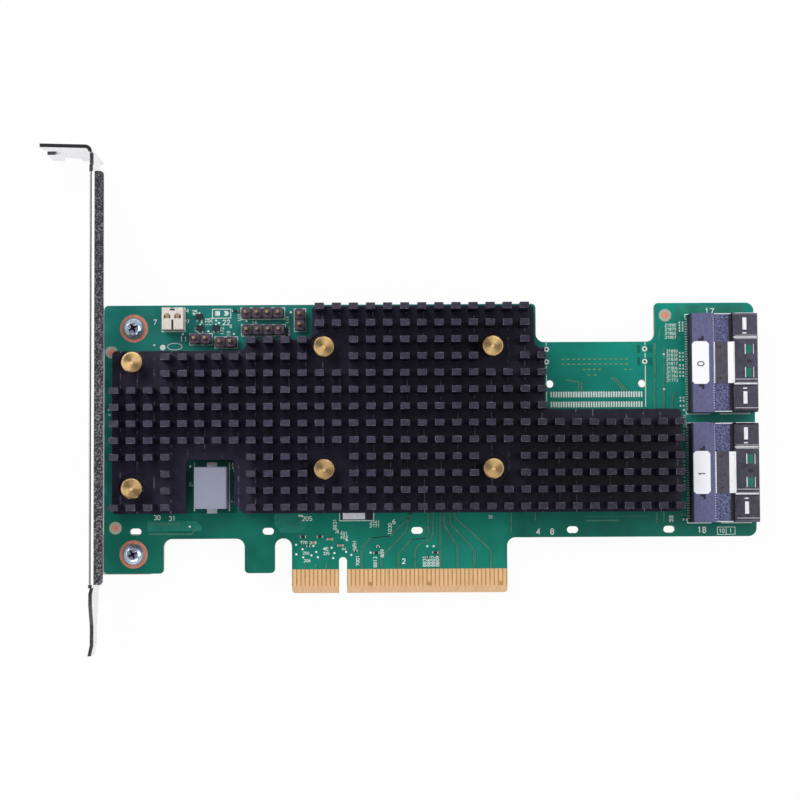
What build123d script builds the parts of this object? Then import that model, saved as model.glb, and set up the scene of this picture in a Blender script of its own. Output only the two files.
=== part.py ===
"""Low-profile host bus adapter card with a full-height vented bracket.

The card lies flat with its component side up.
Frame: X along the card from the key notch in the contact edge towards the cable sockets,
Y from the contact edge up across the card, Z out of the component face, which is at Z = 0.
All sizes are millimetres.
"""
import os
from math import atan, degrees, radians, sqrt, tan

from build123d import *

# Drawing: sides of the polygons that stand for small round holes and fasteners, and the distance by
# which a cut runs past the face it starts or ends at
small_round_sides = 12
cut_margin = 1.0

# Circuit board
board_thickness = 1.57
board_length = 155.65
board_height = 68.9
key_to_left_edge = 56.98
belly_height = 13.0
corner_radius = 2.0
small_corner_radius = 1.0

# Contact tab, counted from the key notch
key_notch_width = 1.9
key_notch_depth = 8.5
tab_reach_left = 12.15
tab_reach_right = 39.15
tab_corner_radius = 0.8
bevel_height = 1.4
bevel_depth = 0.45
contact_pitch = 1.0
contact_width = 0.7
contact_low = 1.45
contact_high = 5.65
short_contact_low = 2.6
contact_plating = 0.05
contacts_before_key = 11
contacts_after_key = 38
short_contacts_front = (17, 31, 48)
short_contacts_back = (1, 31, 48)
first_contact_from_key = 1.5

# Retention hook and left block of the contact edge
hook_width = 7.2
hook_gap = 4.05
hook_gap_flat = 0.2
hook_height = 4.8
left_block_width = 14.28

# Cut-out in the long top edge, counted from the right end
cutout_from_right = 23.87
cutout_width = 28.4
cutout_depth = 9.25

# Through slots and locating holes of the board
slot_length = 2.7
slot_width = 1.6
slot_line = 14.75
slots_from_key = (-17.8, 17.7, 54.8, 77.8)
left_slot_from_edge = 7.6
peg_hole_diameter = 1.8
peg_hole_spacing = 22.1
peg_hole_drop = 19.3
peg_hole_from_cutout = 3.25

# Bracket
sheet = 0.86
bracket_gap = 1.01
bracket_width = 18.42
bracket_below_face = 5.0
bracket_body_bottom = 1.9
bracket_body_top = 101.0
bracket_corner_radius = 2.6
flange_reach = 3.66
flange_bottom = 2.7
flange_top = 99.25
flange_inner_radius = 0.7
flange_corner_radius = 1.0
flange_end_radius = 0.7
tab_top = 105.8
tab_length = 11.43
tab_tilt = 1.6
bend_radius = 0.8
neck_width = 9.6
neck_inset = 2.4
tongue_tip = -14.2
tongue_width = 10.19
tongue_tip_width = 5.4
tongue_taper_start = -2.3
tongue_taper_end = -7.0
tongue_joggle = 0.35
tongue_joggle_height = 1.5
tongue_tip_kick = 0.55
tongue_kick_height = 2.6
notch_width = 4.42
notch_from_face = 6.35
notch_depth = 4.3
end_notch_width = 6.2
end_notch_depth = 3.7
end_notch_from_near_edge = 7.4

# Hexagonal vents of the bracket
vent_across = 4.6
vent_web = 1.0
vent_columns = 3
vent_margin = 1.5

# Folded ears under the board and their screws
ear_width = 9.6
ear_reach = 13.2
ear_relief = 0.6
ear_corner_radius = 1.5
ear_inner_radius = 0.4
ear_fold_radius = 0.8
bracket_screw_inset = 7.1
lower_screw_height = 9.4
upper_screw_drop = 5.5
screw_diameter = 3.0
screw_hole_clearance = 0.2
thread_clearance = 0.05
screw_head_diameter = 5.3
screw_head_height = 2.0
screw_dome = ((0.93, 0.45), (0.62, 0.86), (0.25, 1.0))
screw_length = 4.6

# Controller under the heat sink
controller_size = 27.0
controller_substrate_thickness = 1.1
controller_lid_size = 17.0
controller_lid_thickness = 0.5
controller_lid_chamfer = 0.2
thermal_pad_thickness = 0.4
thermal_pad_inset = 0.5
controller_from_key = 15.8
controller_height = 43.7

# Heat sink
sink_base = 2.0
pin_height = 8.4
pin_length = 2.13
pin_width = 1.5
pin_pitch_x = 4.0
pin_pitch_y = 3.908
first_pin_inset = 1.5
pin_edge_slack = 0.1
sink_from_left_edge = 2.48
sink_bottom = 19.0
sink_left_drop = 11.25
sink_step_from_left = 34.3
sink_step_drop = 8.6
sink_tower_from_left = 49.98
sink_tower_drop = 0.7
sink_edge_inset = 0.7
sink_shoulder = 2.5
sink_shoulder_drop = 10.9
sink_arm_height = 43.35
sink_to_socket = 2.2
sink_corner_chamfer = 0.6
sink_fillet = 1.8
window_from_left = 19.98
window_width = 11.5
window_top = 31.8
window_chamfer = 2.2
window_rim = 2.2
pocket_reach_x = 4.43
pocket_reach_y = 3.6
pocket_radius = 3.9
pocket_depth = 0.5

# Spring screws of the heat sink
sink_screw_inset = 7.9
sink_screw_columns = (52.95, 92.63)
sink_left_screw_low = 25.0
sink_left_screw_drop = 14.3
sink_screw_low = 29.3
sink_screw_drop = 10.85
brass_head_diameter = 5.0
brass_head_height = 1.4
brass_shank_diameter = 2.4
brass_hole_clearance = 0.3
spring_outer_diameter = 4.3
spring_inner_diameter = 3.1
spring_length = 5.1
nut_across_flats = 4.5
nut_thickness = 1.4
nut_overrun = 0.3

# Inductor and its power switches
inductor_length = 7.7
inductor_width = 9.9
inductor_height = 5.0
inductor_lift = 0.25
inductor_from_left = 21.97
inductor_bottom = 20.15
inductor_corner_chamfer = 0.2
inductor_top_chamfer = 0.15
terminal_width = 2.4
terminal_reach = 1.1
terminal_foot = 1.4

# Pin headers: centre of the first pin from the left edge, drop below the top edge, ways, along X
header_pitch = 2.54
header_depth = 2.4
header_height = 2.54
header_pin = 0.64
header_pin_above = 3.2
header_pin_below = 1.2
header_hole_clearance = 0.13
header_chamfer = 0.45
headers = {
    "header_four_upper": (34.16, 2.05, 4, True),
    "header_four_lower": (34.33, 6.07, 4, True),
    "header_two_left": (21.88, 8.16, 2, True),
    "header_two_middle": (27.95, 8.98, 2, True),
    "header_two_side": (46.91, 4.96, 2, False),
}

# Two-way latch connector
latch_connector_length = 5.0
latch_connector_width = 5.2
latch_connector_height = 5.4
latch_connector_from_left = 16.9
latch_connector_drop = 3.6
latch_cell_length = 1.5
latch_cell_width = 0.9
latch_cell_rise = 0.45
latch_cell_depth = 4.4
latch_slit = 0.5
latch_slit_length = 2.3
latch_slit_depth = 4.2
latch_notch_width = 0.55
latch_notch_length = 0.75
latch_pin = 0.5
latch_pin_length = 4.1

# Cable sockets
socket_width = 23.5
socket_height = 5.95
socket_front_inset = 0.2
socket_drops = {"cable_socket_upper": 14.75, "cable_socket_lower": 40.75}
shell_length = 5.85
shell_wall = 0.3
shell_chamfer = 0.5
shell_floor_gap = 0.1
shell_features_shift = 0.4
shell_ridge_from_middle = 5.53
shell_ridge_width = 0.5
shell_ridge_height = 0.18
shell_window_length = 1.7
shell_window_width = 2.1
shell_window_from_middle = 2.75
shell_window_inset = 1.97
shell_rib_length = 1.0
shell_rib_width = 3.0
shell_rib_from_middle = 8.75
shell_rib_height = 0.22
shell_rib_inset = 2.6
housing_length = 9.95
housing_top_drop = 0.35
housing_step_length = 4.45
housing_step_drop = 0.25
housing_back_chamfer = 0.4
mating_slot_width = 19.6
mating_slot_height = 1.3
mating_slot_depth = 5.2
mating_slot_middle = 3.0
latch_plate_length = 3.35
latch_plate_width = 9.8
latch_plate_thickness = 0.2
latch_fold = 1.1
label_length = 4.0
label_width = 10.1
label_thickness = 0.1
label_inset = 0.3
label_corner = 0.6
socket_pitch = 0.6
socket_contacts = 37
socket_tail_length = 0.55
socket_tail_width = 0.26
socket_tail_height = 0.3

# Small surface-mounted pieces
chip_length = 1.0
chip_width = 0.5
chip_height = 0.45
capacitor_height = 0.5
transistor_length = 1.5
transistor_width = 1.3
transistor_height = 0.95
indicator_length = 5.3
indicator_width = 1.5
indicator_height = 0.7
# Places from the left end and down from the top edge, and places from the key notch
chips_by_headers = ((31.4, 1.4), (43.7, 5.6), (43.7, 6.35), (43.7, 7.1))
chips_by_contacts = ((-5.5, 13.4), (-9.5, 13.4), (8.0, 9.5), (22.0, 9.5))
capacitors_by_contacts = ((-3.1, 12.8), (-0.6, 11.3))
transistors_by_headers = ((22.8, 2.8), (23.0, 5.5), (26.75, 5.5))
indicator_from_key = (2.65, 18.25)

# Derived places
board_left = -key_to_left_edge
board_right = board_left + board_length
board_bottom = -board_thickness
cutout_right = board_right - cutout_from_right
cutout_left = cutout_right - cutout_width
cutout_floor = board_height - cutout_depth
hook_right = -tab_reach_left - hook_gap
hook_left = hook_right - hook_width
left_block_right = board_left + left_block_width

bracket_inner = board_left - bracket_gap
bracket_outer = bracket_inner - sheet
bracket_far = -bracket_below_face
bracket_near = bracket_far + bracket_width
bracket_middle = (bracket_far + bracket_near) / 2
neck_near = bracket_near - neck_inset
flange_edge = bracket_outer + flange_reach
body_near = bracket_near - sheet - flange_inner_radius
tab_outer = bracket_outer - tab_length
notch_x = bracket_outer - notch_from_face
ear_top = board_bottom
ear_bottom = ear_top - sheet
bracket_screw_x = board_left + bracket_screw_inset
bracket_screw_ys = (lower_screw_height, board_height - upper_screw_drop)
screw_hole_radius = screw_diameter / 2 + screw_hole_clearance

controller_top = controller_substrate_thickness + controller_lid_thickness
sink_underside = controller_top + thermal_pad_thickness
sink_floor = sink_underside + sink_base
pocket_floor = sink_floor - pocket_depth
sink_left = board_left + sink_from_left_edge
sink_step = board_left + sink_step_from_left
sink_tower = board_left + sink_tower_from_left
sink_tower_right = cutout_left - sink_edge_inset
sink_shoulder_right = sink_tower_right + sink_shoulder
sink_left_top = board_height - sink_left_drop
sink_step_top = board_height - sink_step_drop
sink_tower_top = board_height - sink_tower_drop
sink_shoulder_top = board_height - sink_shoulder_drop
window_left = board_left + window_from_left
window_right = window_left + window_width

left_screw_x = board_left + sink_screw_inset
sink_screws = [(left_screw_x, sink_left_screw_low), (left_screw_x, board_height - sink_left_screw_drop)]
for from_left in sink_screw_columns:
    sink_screws.append((board_left + from_left, sink_screw_low))
    sink_screws.append((board_left + from_left, board_height - sink_screw_drop))
brass_shank_radius = brass_shank_diameter / 2
brass_hole_radius = brass_shank_radius + brass_hole_clearance
brass_head_bottom = pocket_floor + spring_length
nut_bottom = board_bottom - nut_thickness

inductor_left = board_left + inductor_from_left

socket_front = board_right - socket_front_inset
shell_back = socket_front - shell_length
housing_back = shell_back - housing_length
housing_top = socket_height - housing_top_drop
sink_right = housing_back - sink_to_socket
socket_ys = {name: board_height - drop for name, drop in socket_drops.items()}
peg_hole_y = board_height - peg_hole_drop
first_peg_hole = cutout_left + peg_hole_from_cutout
peg_hole_xs = (first_peg_hole, first_peg_hole + peg_hole_spacing)

slot_places = [(x, slot_line) for x in slots_from_key]
slot_places.append((board_left + left_slot_from_edge, slot_line))


def near(shapes, points, reach=0.05):
    """The vertices or edges whose centre lies at one of the points, looking along Z."""
    found = []
    for shape in shapes:
        middle = shape.center()
        if any(abs(middle.X - x) < reach and abs(middle.Y - y) < reach for x, y in points):
            found.append(shape)
    return found


def at_corners(shapes, points, reach=0.05):
    """The vertices that lie at one of the points (Y, Z), looking along X."""
    return [v for v in shapes if any(abs(v.Y - y) < reach and abs(v.Z - z) < reach for y, z in points)]


def header_pin_places(from_left, drop, ways, along_x):
    """Centres of a header's pins on the board."""
    x, y = board_left + from_left, board_height - drop
    step = (header_pitch, 0) if along_x else (0, header_pitch)
    return [(x + i * step[0], y + i * step[1]) for i in range(ways)]


def add_block(x_low, x_high, y_low, y_high, z_low, z_high, mode=Mode.ADD):
    """A box between two corners, added to the part being built."""
    middle = ((x_low + x_high) / 2, (y_low + y_high) / 2, (z_low + z_high) / 2)
    with Locations(middle):
        Box(x_high - x_low, y_high - y_low, z_high - z_low, mode=mode)


def small_round(radius, mode=Mode.ADD):
    """A small hole or fastener in plan: a many-sided outline that encloses the true circle."""
    RegularPolygon(radius, small_round_sides, major_radius=False, mode=mode)


def add_field(x_low, x_high, y_low, y_high, mode=Mode.ADD):
    """A rectangle between two corners, added to the sketch being drawn."""
    with Locations(((x_low + x_high) / 2, (y_low + y_high) / 2)):
        Rectangle(x_high - x_low, y_high - y_low, mode=mode)


# Circuit board
key_radius = key_notch_width / 2
header_holes = [spot for spec in headers.values() for spot in header_pin_places(*spec)]
with BuildPart() as circuit_board:
    with BuildSketch() as board_outline:
        add_field(board_left, board_right, belly_height, board_height)
        add_field(board_left, left_block_right, hook_height, belly_height)
        add_field(hook_left, hook_right, hook_height, belly_height)
        add_field(-tab_reach_left, tab_reach_right, 0, belly_height)
        add_field(cutout_left, cutout_right, cutout_floor, board_height, Mode.SUBTRACT)
        add_field(-key_radius, key_radius, 0, key_notch_depth - key_radius, Mode.SUBTRACT)
        with Locations((0, key_notch_depth - key_radius)):
            Circle(key_radius, mode=Mode.SUBTRACT)
        corners = board_outline.vertices()
        outer = [(board_right, board_height), (board_right, belly_height)]
        outer += [(cutout_left, cutout_floor), (cutout_right, cutout_floor)]
        outer += [(left_block_right, belly_height), (hook_left, belly_height)]
        fillet(near(corners, outer), corner_radius)
        corners = board_outline.vertices()
        small = [(board_left, board_height), (board_left, hook_height)]
        small += [(left_block_right, hook_height), (hook_left, hook_height), (hook_right, hook_height)]
        small += [(cutout_left, board_height), (cutout_right, board_height)]
        fillet(near(corners, small), small_corner_radius)
        corners = board_outline.vertices()
        fillet(near(corners, [(-tab_reach_left, 0), (tab_reach_right, 0)]), tab_corner_radius)
        corners = board_outline.vertices()
        gap_top = [(hook_right, belly_height), (-tab_reach_left, belly_height)]
        fillet(near(corners, gap_top), (hook_gap - hook_gap_flat) / 2)
        corners = board_outline.vertices()
        fillet(near(corners, [(tab_reach_right, belly_height)]), corner_radius)
        with Locations(*slot_places):
            Rectangle(slot_length - slot_width, slot_width, mode=Mode.SUBTRACT)
        slot_reach = (slot_length - slot_width) / 2
        slot_ends = [(x + side * slot_reach, y) for x, y in slot_places for side in (-1, 1)]
        with Locations(*slot_ends):
            small_round(slot_width / 2, Mode.SUBTRACT)
        with Locations(*[(bracket_screw_x, y) for y in bracket_screw_ys]):
            small_round(screw_hole_radius, Mode.SUBTRACT)
        with Locations(*sink_screws):
            RegularPolygon(brass_hole_radius, 6, major_radius=False, mode=Mode.SUBTRACT)
        with Locations(*[(x, peg_hole_y) for x in peg_hole_xs]):
            small_round(peg_hole_diameter / 2, Mode.SUBTRACT)
        header_hole = header_pin + 2 * header_hole_clearance
        with Locations(*header_holes):
            Rectangle(header_hole, header_hole, mode=Mode.SUBTRACT)
    extrude(amount=-board_thickness)
    with BuildSketch(Plane.YZ.offset(-tab_reach_left)):
        with BuildLine():
            Polyline((0, 0), (bevel_height, 0), (0, -bevel_depth), close=True)
        make_face()
        with BuildLine():
            Polyline((0, board_bottom), (bevel_height, board_bottom),
                     (0, board_bottom + bevel_depth), close=True)
        make_face()
    extrude(amount=tab_reach_left + tab_reach_right, mode=Mode.SUBTRACT)


def contact_places():
    """Number and X of each contact, counted away from the left end of the tab."""
    last_before = -first_contact_from_key
    places = []
    for i in range(contacts_before_key):
        places.append((i + 1, last_before - (contacts_before_key - 1 - i) * contact_pitch))
    for i in range(contacts_after_key):
        places.append((contacts_before_key + 1 + i, first_contact_from_key + i * contact_pitch))
    return places


def build_contacts(face, thickness, short_ones):
    """One side's row of plated contacts on a face of the board, as thick as stated."""
    with BuildPart() as row:
        with BuildSketch(Plane.XY.offset(face)):
            for number, x in contact_places():
                low = short_contact_low if number in short_ones else contact_low
                add_field(x - contact_width / 2, x + contact_width / 2, low, contact_high)
        extrude(amount=thickness)
    return row


edge_contacts_front = build_contacts(0, contact_plating, short_contacts_front)
edge_contacts_back = build_contacts(board_bottom, -contact_plating, short_contacts_back)


# Bracket: a folded sheet, drawn as its section along Z and then trimmed from the side and from above
tab_slope = tan(radians(tab_tilt))
tongue_inner = bracket_inner - tongue_joggle
tongue_outer = bracket_outer - tongue_joggle
tip_inner = tongue_inner - tongue_tip_kick
tip_outer = tongue_outer - tongue_tip_kick
kick_start = tongue_tip + tongue_kick_height
joggle_end = bracket_body_bottom - tongue_joggle_height
tab_root_top = tab_top - tab_slope * (tab_length + sheet)
tab_root_under = tab_top - sheet - tab_slope * tab_length
vent_pitch = vent_across + vent_web
vent_step = vent_pitch * sqrt(3) / 2
vent_radius = vent_across / sqrt(3)
tongue_far = bracket_middle - tongue_width / 2
tongue_near = bracket_middle + tongue_width / 2
tip_far = bracket_middle - tongue_tip_width / 2
tip_near = bracket_middle + tongue_tip_width / 2
neck_top = tab_root_top - bend_radius - sheet


def vent_places():
    """Centres of the vents in the bracket's plane, as (Y, Z), in a staggered field clear of the ears."""
    places = []
    low = bracket_body_bottom + vent_margin + vent_across / 2
    high = bracket_body_top - vent_margin - vent_across / 2
    rows = int((high - low) / vent_pitch) + 1
    spare = (high - low - (rows - 1) * vent_pitch) / 2
    middle = (bracket_far + body_near) / 2
    for column in range(vent_columns):
        z = middle + (column - (vent_columns - 1) / 2) * vent_step
        shifted = column % 2
        for row in range(rows - shifted):
            y = low + spare + (row + shifted / 2) * vent_pitch
            beside_ear = any(abs(y - ear_y) < (ear_width + vent_across) / 2 for ear_y in bracket_screw_ys)
            if beside_ear and z - vent_radius < ear_top + 2 * bend_radius:
                continue
            places.append((y, z))
    return places


with BuildPart() as bracket:
    with BuildSketch(Plane.XY.offset(bracket_far)) as section:
        with BuildLine():
            Polyline(
                (bracket_inner, bracket_body_bottom),
                (bracket_inner, tab_root_top),
                (tab_outer, tab_top),
                (tab_outer, tab_top - sheet),
                (bracket_outer, tab_root_under),
                (bracket_outer, bracket_body_bottom),
                (tongue_outer, joggle_end),
                (tongue_outer, kick_start),
                (tip_outer, tongue_tip),
                (tip_inner, tongue_tip),
                (tongue_inner, kick_start),
                (tongue_inner, joggle_end),
                close=True,
            )
        make_face()
        corners = section.vertices()
        fillet(near(corners, [(bracket_inner, tab_root_top)]), bend_radius + sheet)
        corners = section.vertices()
        fillet(near(corners, [(bracket_outer, tab_root_under)]), bend_radius)
    extrude(amount=bracket_width)
    # The side view, which keeps the tongue, the body, the neck and the tab
    with BuildSketch(Plane.YZ.offset(tab_outer - cut_margin)) as side:
        with BuildLine():
            Polyline(
                (tongue_tip, tip_far),
                (tongue_taper_end, tip_far),
                (tongue_taper_start, tongue_far),
                (bracket_body_bottom, tongue_far),
                (bracket_body_bottom, bracket_far),
                (bracket_body_top, bracket_far),
                (bracket_body_top, neck_near - neck_width),
                (neck_top, neck_near - neck_width),
                (neck_top, bracket_far),
                (tab_top + cut_margin, bracket_far),
                (tab_top + cut_margin, bracket_near),
                (neck_top, bracket_near),
                (neck_top, neck_near),
                (bracket_body_top, neck_near),
                (bracket_body_top, body_near),
                (bracket_body_bottom, body_near),
                (bracket_body_bottom, tongue_near),
                (tongue_taper_start, tongue_near),
                (tongue_taper_end, tip_near),
                (tongue_tip, tip_near),
                close=True,
            )
        make_face()
        body_corners = [(bracket_body_bottom, bracket_far), (bracket_body_top, bracket_far)]
        flange_ends = [(bracket_body_bottom, body_near), (bracket_body_top, body_near)]
        tip_corners = [(tongue_tip, tip_far), (tongue_tip, tip_near)]
        fillet(at_corners(side.vertices(), body_corners), bracket_corner_radius)
        fillet(at_corners(side.vertices(), flange_ends), flange_end_radius)
        fillet(at_corners(side.vertices(), tip_corners), small_corner_radius)
    extrude(amount=bracket_inner - tab_outer + 2 * cut_margin, mode=Mode.INTERSECT)
    # Flange folded inwards along the near edge
    with BuildSketch(Plane.XZ.offset(-flange_top)) as flange_section:
        add_field(bracket_outer, bracket_inner, body_near - sheet, bracket_near)
        add_field(bracket_outer, flange_edge, bracket_near - sheet, bracket_near)
        corners = flange_section.vertices()
        fillet(near(corners, [(bracket_inner, bracket_near - sheet)]), flange_inner_radius)
        corners = flange_section.vertices()
        fillet(near(corners, [(bracket_outer, bracket_near)]), flange_inner_radius + sheet)
    extrude(amount=flange_top - flange_bottom)
    flange_corners = [e for e in bracket.edges().filter_by(Axis.Z)
                      if abs(e.center().X - flange_edge) < 0.05]
    fillet(flange_corners, flange_corner_radius)
    # Far margin taken away where the ears are folded, with a relief at each side
    for ear_y in bracket_screw_ys:
        relief = ear_width / 2 + ear_relief
        add_block(bracket_outer - cut_margin, bracket_inner + cut_margin, ear_y - relief, ear_y + relief,
                  bracket_far - cut_margin, ear_bottom, Mode.SUBTRACT)
        with BuildSketch(Plane.XZ.offset(-ear_y - ear_width / 2)) as ear_section:
            add_field(bracket_outer, bracket_inner + ear_reach, ear_bottom, ear_top)
            add_field(bracket_outer, bracket_inner, ear_bottom, ear_top + sheet)
            corners = ear_section.vertices()
            fillet(near(corners, [(bracket_inner, ear_top)]), ear_inner_radius)
        extrude(amount=ear_width)
    fold_edges = [e for e in bracket.edges().filter_by(Axis.Y)
                  if abs(e.center().X - bracket_outer) < 0.05 and abs(e.center().Z - ear_bottom) < 0.05]
    fillet(fold_edges, ear_fold_radius)
    ear_corners = [e for e in bracket.edges().filter_by(Axis.Z)
                   if abs(e.center().X - bracket_inner - ear_reach) < 0.05]
    fillet(ear_corners, ear_corner_radius)
    with BuildSketch(Plane.XY.offset(ear_top)):
        with Locations(*[(bracket_screw_x, y) for y in bracket_screw_ys]):
            small_round(screw_diameter / 2 + thread_clearance)
    extrude(amount=-sheet, mode=Mode.SUBTRACT)
    # Vents
    with BuildSketch(Plane.YZ.offset(bracket_outer - cut_margin)):
        with Locations(*vent_places()):
            RegularPolygon(vent_radius, 6, rotation=30)
    extrude(amount=sheet + 2 * cut_margin, mode=Mode.SUBTRACT)
    # Screw notch open to the far edge and a rounded notch in the outer end of the tab
    with BuildSketch(Plane.XZ.offset(-tab_top - cut_margin)):
        add_field(notch_x - notch_width / 2, notch_x + notch_width / 2,
                  bracket_far - cut_margin, bracket_far + notch_depth - notch_width / 2)
        with Locations((notch_x, bracket_far + notch_depth - notch_width / 2)):
            Circle(notch_width / 2)
        with Locations((tab_outer, bracket_near - end_notch_from_near_edge)):
            Ellipse(end_notch_depth, end_notch_width / 2)
    extrude(amount=3 * sheet + cut_margin, mode=Mode.SUBTRACT)


# Bracket screws: domed heads on the board, shanks through board and ears
with BuildPart() as bracket_screws:
    low_radius, low_height = screw_head_diameter / 2, 0
    for radius_share, height_share in screw_dome:
        high_radius = screw_head_diameter / 2 * radius_share
        high_height = screw_head_height * height_share
        with BuildSketch(Plane.XY.offset(low_height)):
            with Locations(*[(bracket_screw_x, y) for y in bracket_screw_ys]):
                small_round(low_radius)
        lean = degrees(atan((low_radius - high_radius) / (high_height - low_height)))
        extrude(amount=high_height - low_height, taper=lean)
        low_radius, low_height = high_radius, high_height
    with BuildSketch():
        with Locations(*[(bracket_screw_x, y) for y in bracket_screw_ys]):
            small_round(screw_diameter / 2)
    extrude(amount=-screw_length)


# Controller package, its lid and the thermal pad that meets the heat sink
substrate_half = controller_size / 2
with BuildPart() as controller_substrate:
    add_block(controller_from_key - substrate_half, controller_from_key + substrate_half,
              controller_height - substrate_half, controller_height + substrate_half,
              0, controller_substrate_thickness)
lid_half = controller_lid_size / 2
with BuildPart() as controller_lid:
    add_block(controller_from_key - lid_half, controller_from_key + lid_half, controller_height - lid_half,
              controller_height + lid_half, controller_substrate_thickness, controller_top)
    chamfer(controller_lid.faces().sort_by(Axis.Z)[-1].edges(), controller_lid_chamfer)
pad_half = lid_half - thermal_pad_inset
with BuildPart() as thermal_pad:
    add_block(controller_from_key - pad_half, controller_from_key + pad_half, controller_height - pad_half,
              controller_height + pad_half, controller_top, sink_underside)


def sink_top_edge(x):
    """Height across the board of the heat sink's upper edge at a place along it."""
    if x < sink_step:
        return sink_left_top
    if x < sink_tower:
        return sink_step_top
    if x < sink_tower_right:
        return sink_tower_top
    if x < sink_shoulder_right:
        return sink_shoulder_top
    return sink_arm_height


def pin_stands(x, y):
    """True where a pin of the heat sink stands: on the base, clear of the screw pockets and the window."""
    left, right = x - pin_length / 2 + pin_edge_slack, x + pin_length / 2 - pin_edge_slack
    low, high = y - pin_width / 2 + pin_edge_slack, y + pin_width / 2 - pin_edge_slack
    if left < sink_left or right > sink_right or low < sink_bottom:
        return False
    if high > min(sink_top_edge(left), sink_top_edge(right)):
        return False
    for screw_x, screw_y in sink_screws:
        if abs(x - screw_x) < pocket_reach_x and abs(y - screw_y) < pocket_reach_y:
            return False
    in_window = window_left - window_rim < x < window_right + window_rim
    return not (in_window and y < window_top + window_rim)


first_pin_x = sink_left + first_pin_inset
first_pin_y = sink_bottom + first_pin_inset
pin_columns = int((sink_right - first_pin_x) / pin_pitch_x) + 1
pin_rows = int((sink_tower_top - first_pin_y) / pin_pitch_y) + 1
pin_places = []
for row in range(pin_rows):
    for column in range(pin_columns):
        spot = (first_pin_x + column * pin_pitch_x, first_pin_y + row * pin_pitch_y)
        if pin_stands(*spot):
            pin_places.append(spot)

# Heat sink: stepped base plate with an open window for the inductor, milled pockets and a field of pins
with BuildPart() as heat_sink:
    with BuildSketch(Plane.XY.offset(sink_underside)) as sink_outline:
        with BuildLine():
            Polyline(
                (sink_left, sink_bottom),
                (sink_left, sink_left_top),
                (sink_step, sink_left_top),
                (sink_step, sink_step_top),
                (sink_tower, sink_step_top),
                (sink_tower, sink_tower_top),
                (sink_tower_right, sink_tower_top),
                (sink_tower_right, sink_shoulder_top),
                (sink_shoulder_right, sink_shoulder_top),
                (sink_shoulder_right, sink_arm_height),
                (sink_right, sink_arm_height),
                (sink_right, sink_bottom),
                (window_right + window_chamfer, sink_bottom),
                (window_right, sink_bottom + window_chamfer),
                (window_right, window_top),
                (window_left, window_top),
                (window_left, sink_bottom),
                close=True,
            )
        make_face()
        corners = sink_outline.vertices()
        inner = [(sink_step, sink_left_top), (sink_tower, sink_step_top)]
        inner += [(sink_tower_right, sink_shoulder_top), (sink_shoulder_right, sink_arm_height)]
        fillet(near(corners, inner), sink_fillet)
        corners = sink_outline.vertices()
        outer = [(sink_left, sink_bottom), (sink_left, sink_left_top), (sink_tower, sink_tower_top)]
        outer += [(sink_tower_right, sink_tower_top), (sink_right, sink_arm_height)]
        outer += [(sink_right, sink_bottom), (window_left, window_top), (window_right, window_top)]
        chamfer(near(corners, outer), sink_corner_chamfer)
    extrude(amount=sink_base)
    with BuildSketch(Plane.XY.offset(sink_floor)):
        with Locations(*sink_screws):
            RegularPolygon(pocket_radius, 2 * small_round_sides)
    extrude(amount=-pocket_depth, mode=Mode.SUBTRACT)
    with BuildSketch(Plane.XY.offset(sink_floor)):
        with Locations(*sink_screws):
            RegularPolygon(brass_hole_radius, 6, major_radius=False)
    extrude(amount=-sink_base, mode=Mode.SUBTRACT)
    with BuildSketch(Plane.XY.offset(sink_floor)):
        with Locations(*pin_places):
            Rectangle(pin_length, pin_width)
    extrude(amount=pin_height)

# Brass spring screws, their springs and the nuts behind the board
with BuildPart() as heat_sink_screws:
    with BuildSketch(Plane.XY.offset(brass_head_bottom)):
        with Locations(*sink_screws):
            RegularPolygon(brass_head_diameter / 2, 2 * small_round_sides)
    extrude(amount=brass_head_height)
    with BuildSketch(Plane.XY.offset(brass_head_bottom)):
        with Locations(*sink_screws):
            small_round(brass_shank_radius)
    extrude(amount=nut_bottom - nut_overrun - brass_head_bottom)

with BuildPart() as heat_sink_springs:
    with BuildSketch(Plane.XY.offset(pocket_floor)):
        with Locations(*sink_screws):
            small_round(spring_outer_diameter / 2)
            small_round(spring_inner_diameter / 2, Mode.SUBTRACT)
    extrude(amount=spring_length)

with BuildPart() as heat_sink_nuts:
    with BuildSketch(Plane.XY.offset(board_bottom)):
        with Locations(*sink_screws):
            RegularPolygon(nut_across_flats / 2, 6, major_radius=False)
            RegularPolygon(brass_shank_radius + thread_clearance, 6, major_radius=False, mode=Mode.SUBTRACT)
    extrude(amount=-nut_thickness)

# Inductor in the heat sink's window
inductor_right = inductor_left + inductor_length
inductor_top = inductor_bottom + inductor_width
with BuildPart() as inductor_body:
    add_block(inductor_left, inductor_right, inductor_bottom, inductor_top, inductor_lift,
              inductor_lift + inductor_height)
    chamfer(inductor_body.edges().filter_by(Axis.Z), inductor_corner_chamfer)
    chamfer(inductor_body.faces().sort_by(Axis.Z)[-1].edges(), inductor_top_chamfer)

inductor_middle = (inductor_left + inductor_right) / 2
with BuildPart() as inductor_terminals:
    for end, outward in ((inductor_bottom, -1), (inductor_top, 1)):
        y_low, y_high = sorted((end - outward * terminal_foot, end + outward * terminal_reach))
        add_block(inductor_middle - terminal_width / 2, inductor_middle + terminal_width / 2,
                  y_low, y_high, 0, inductor_lift)


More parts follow.
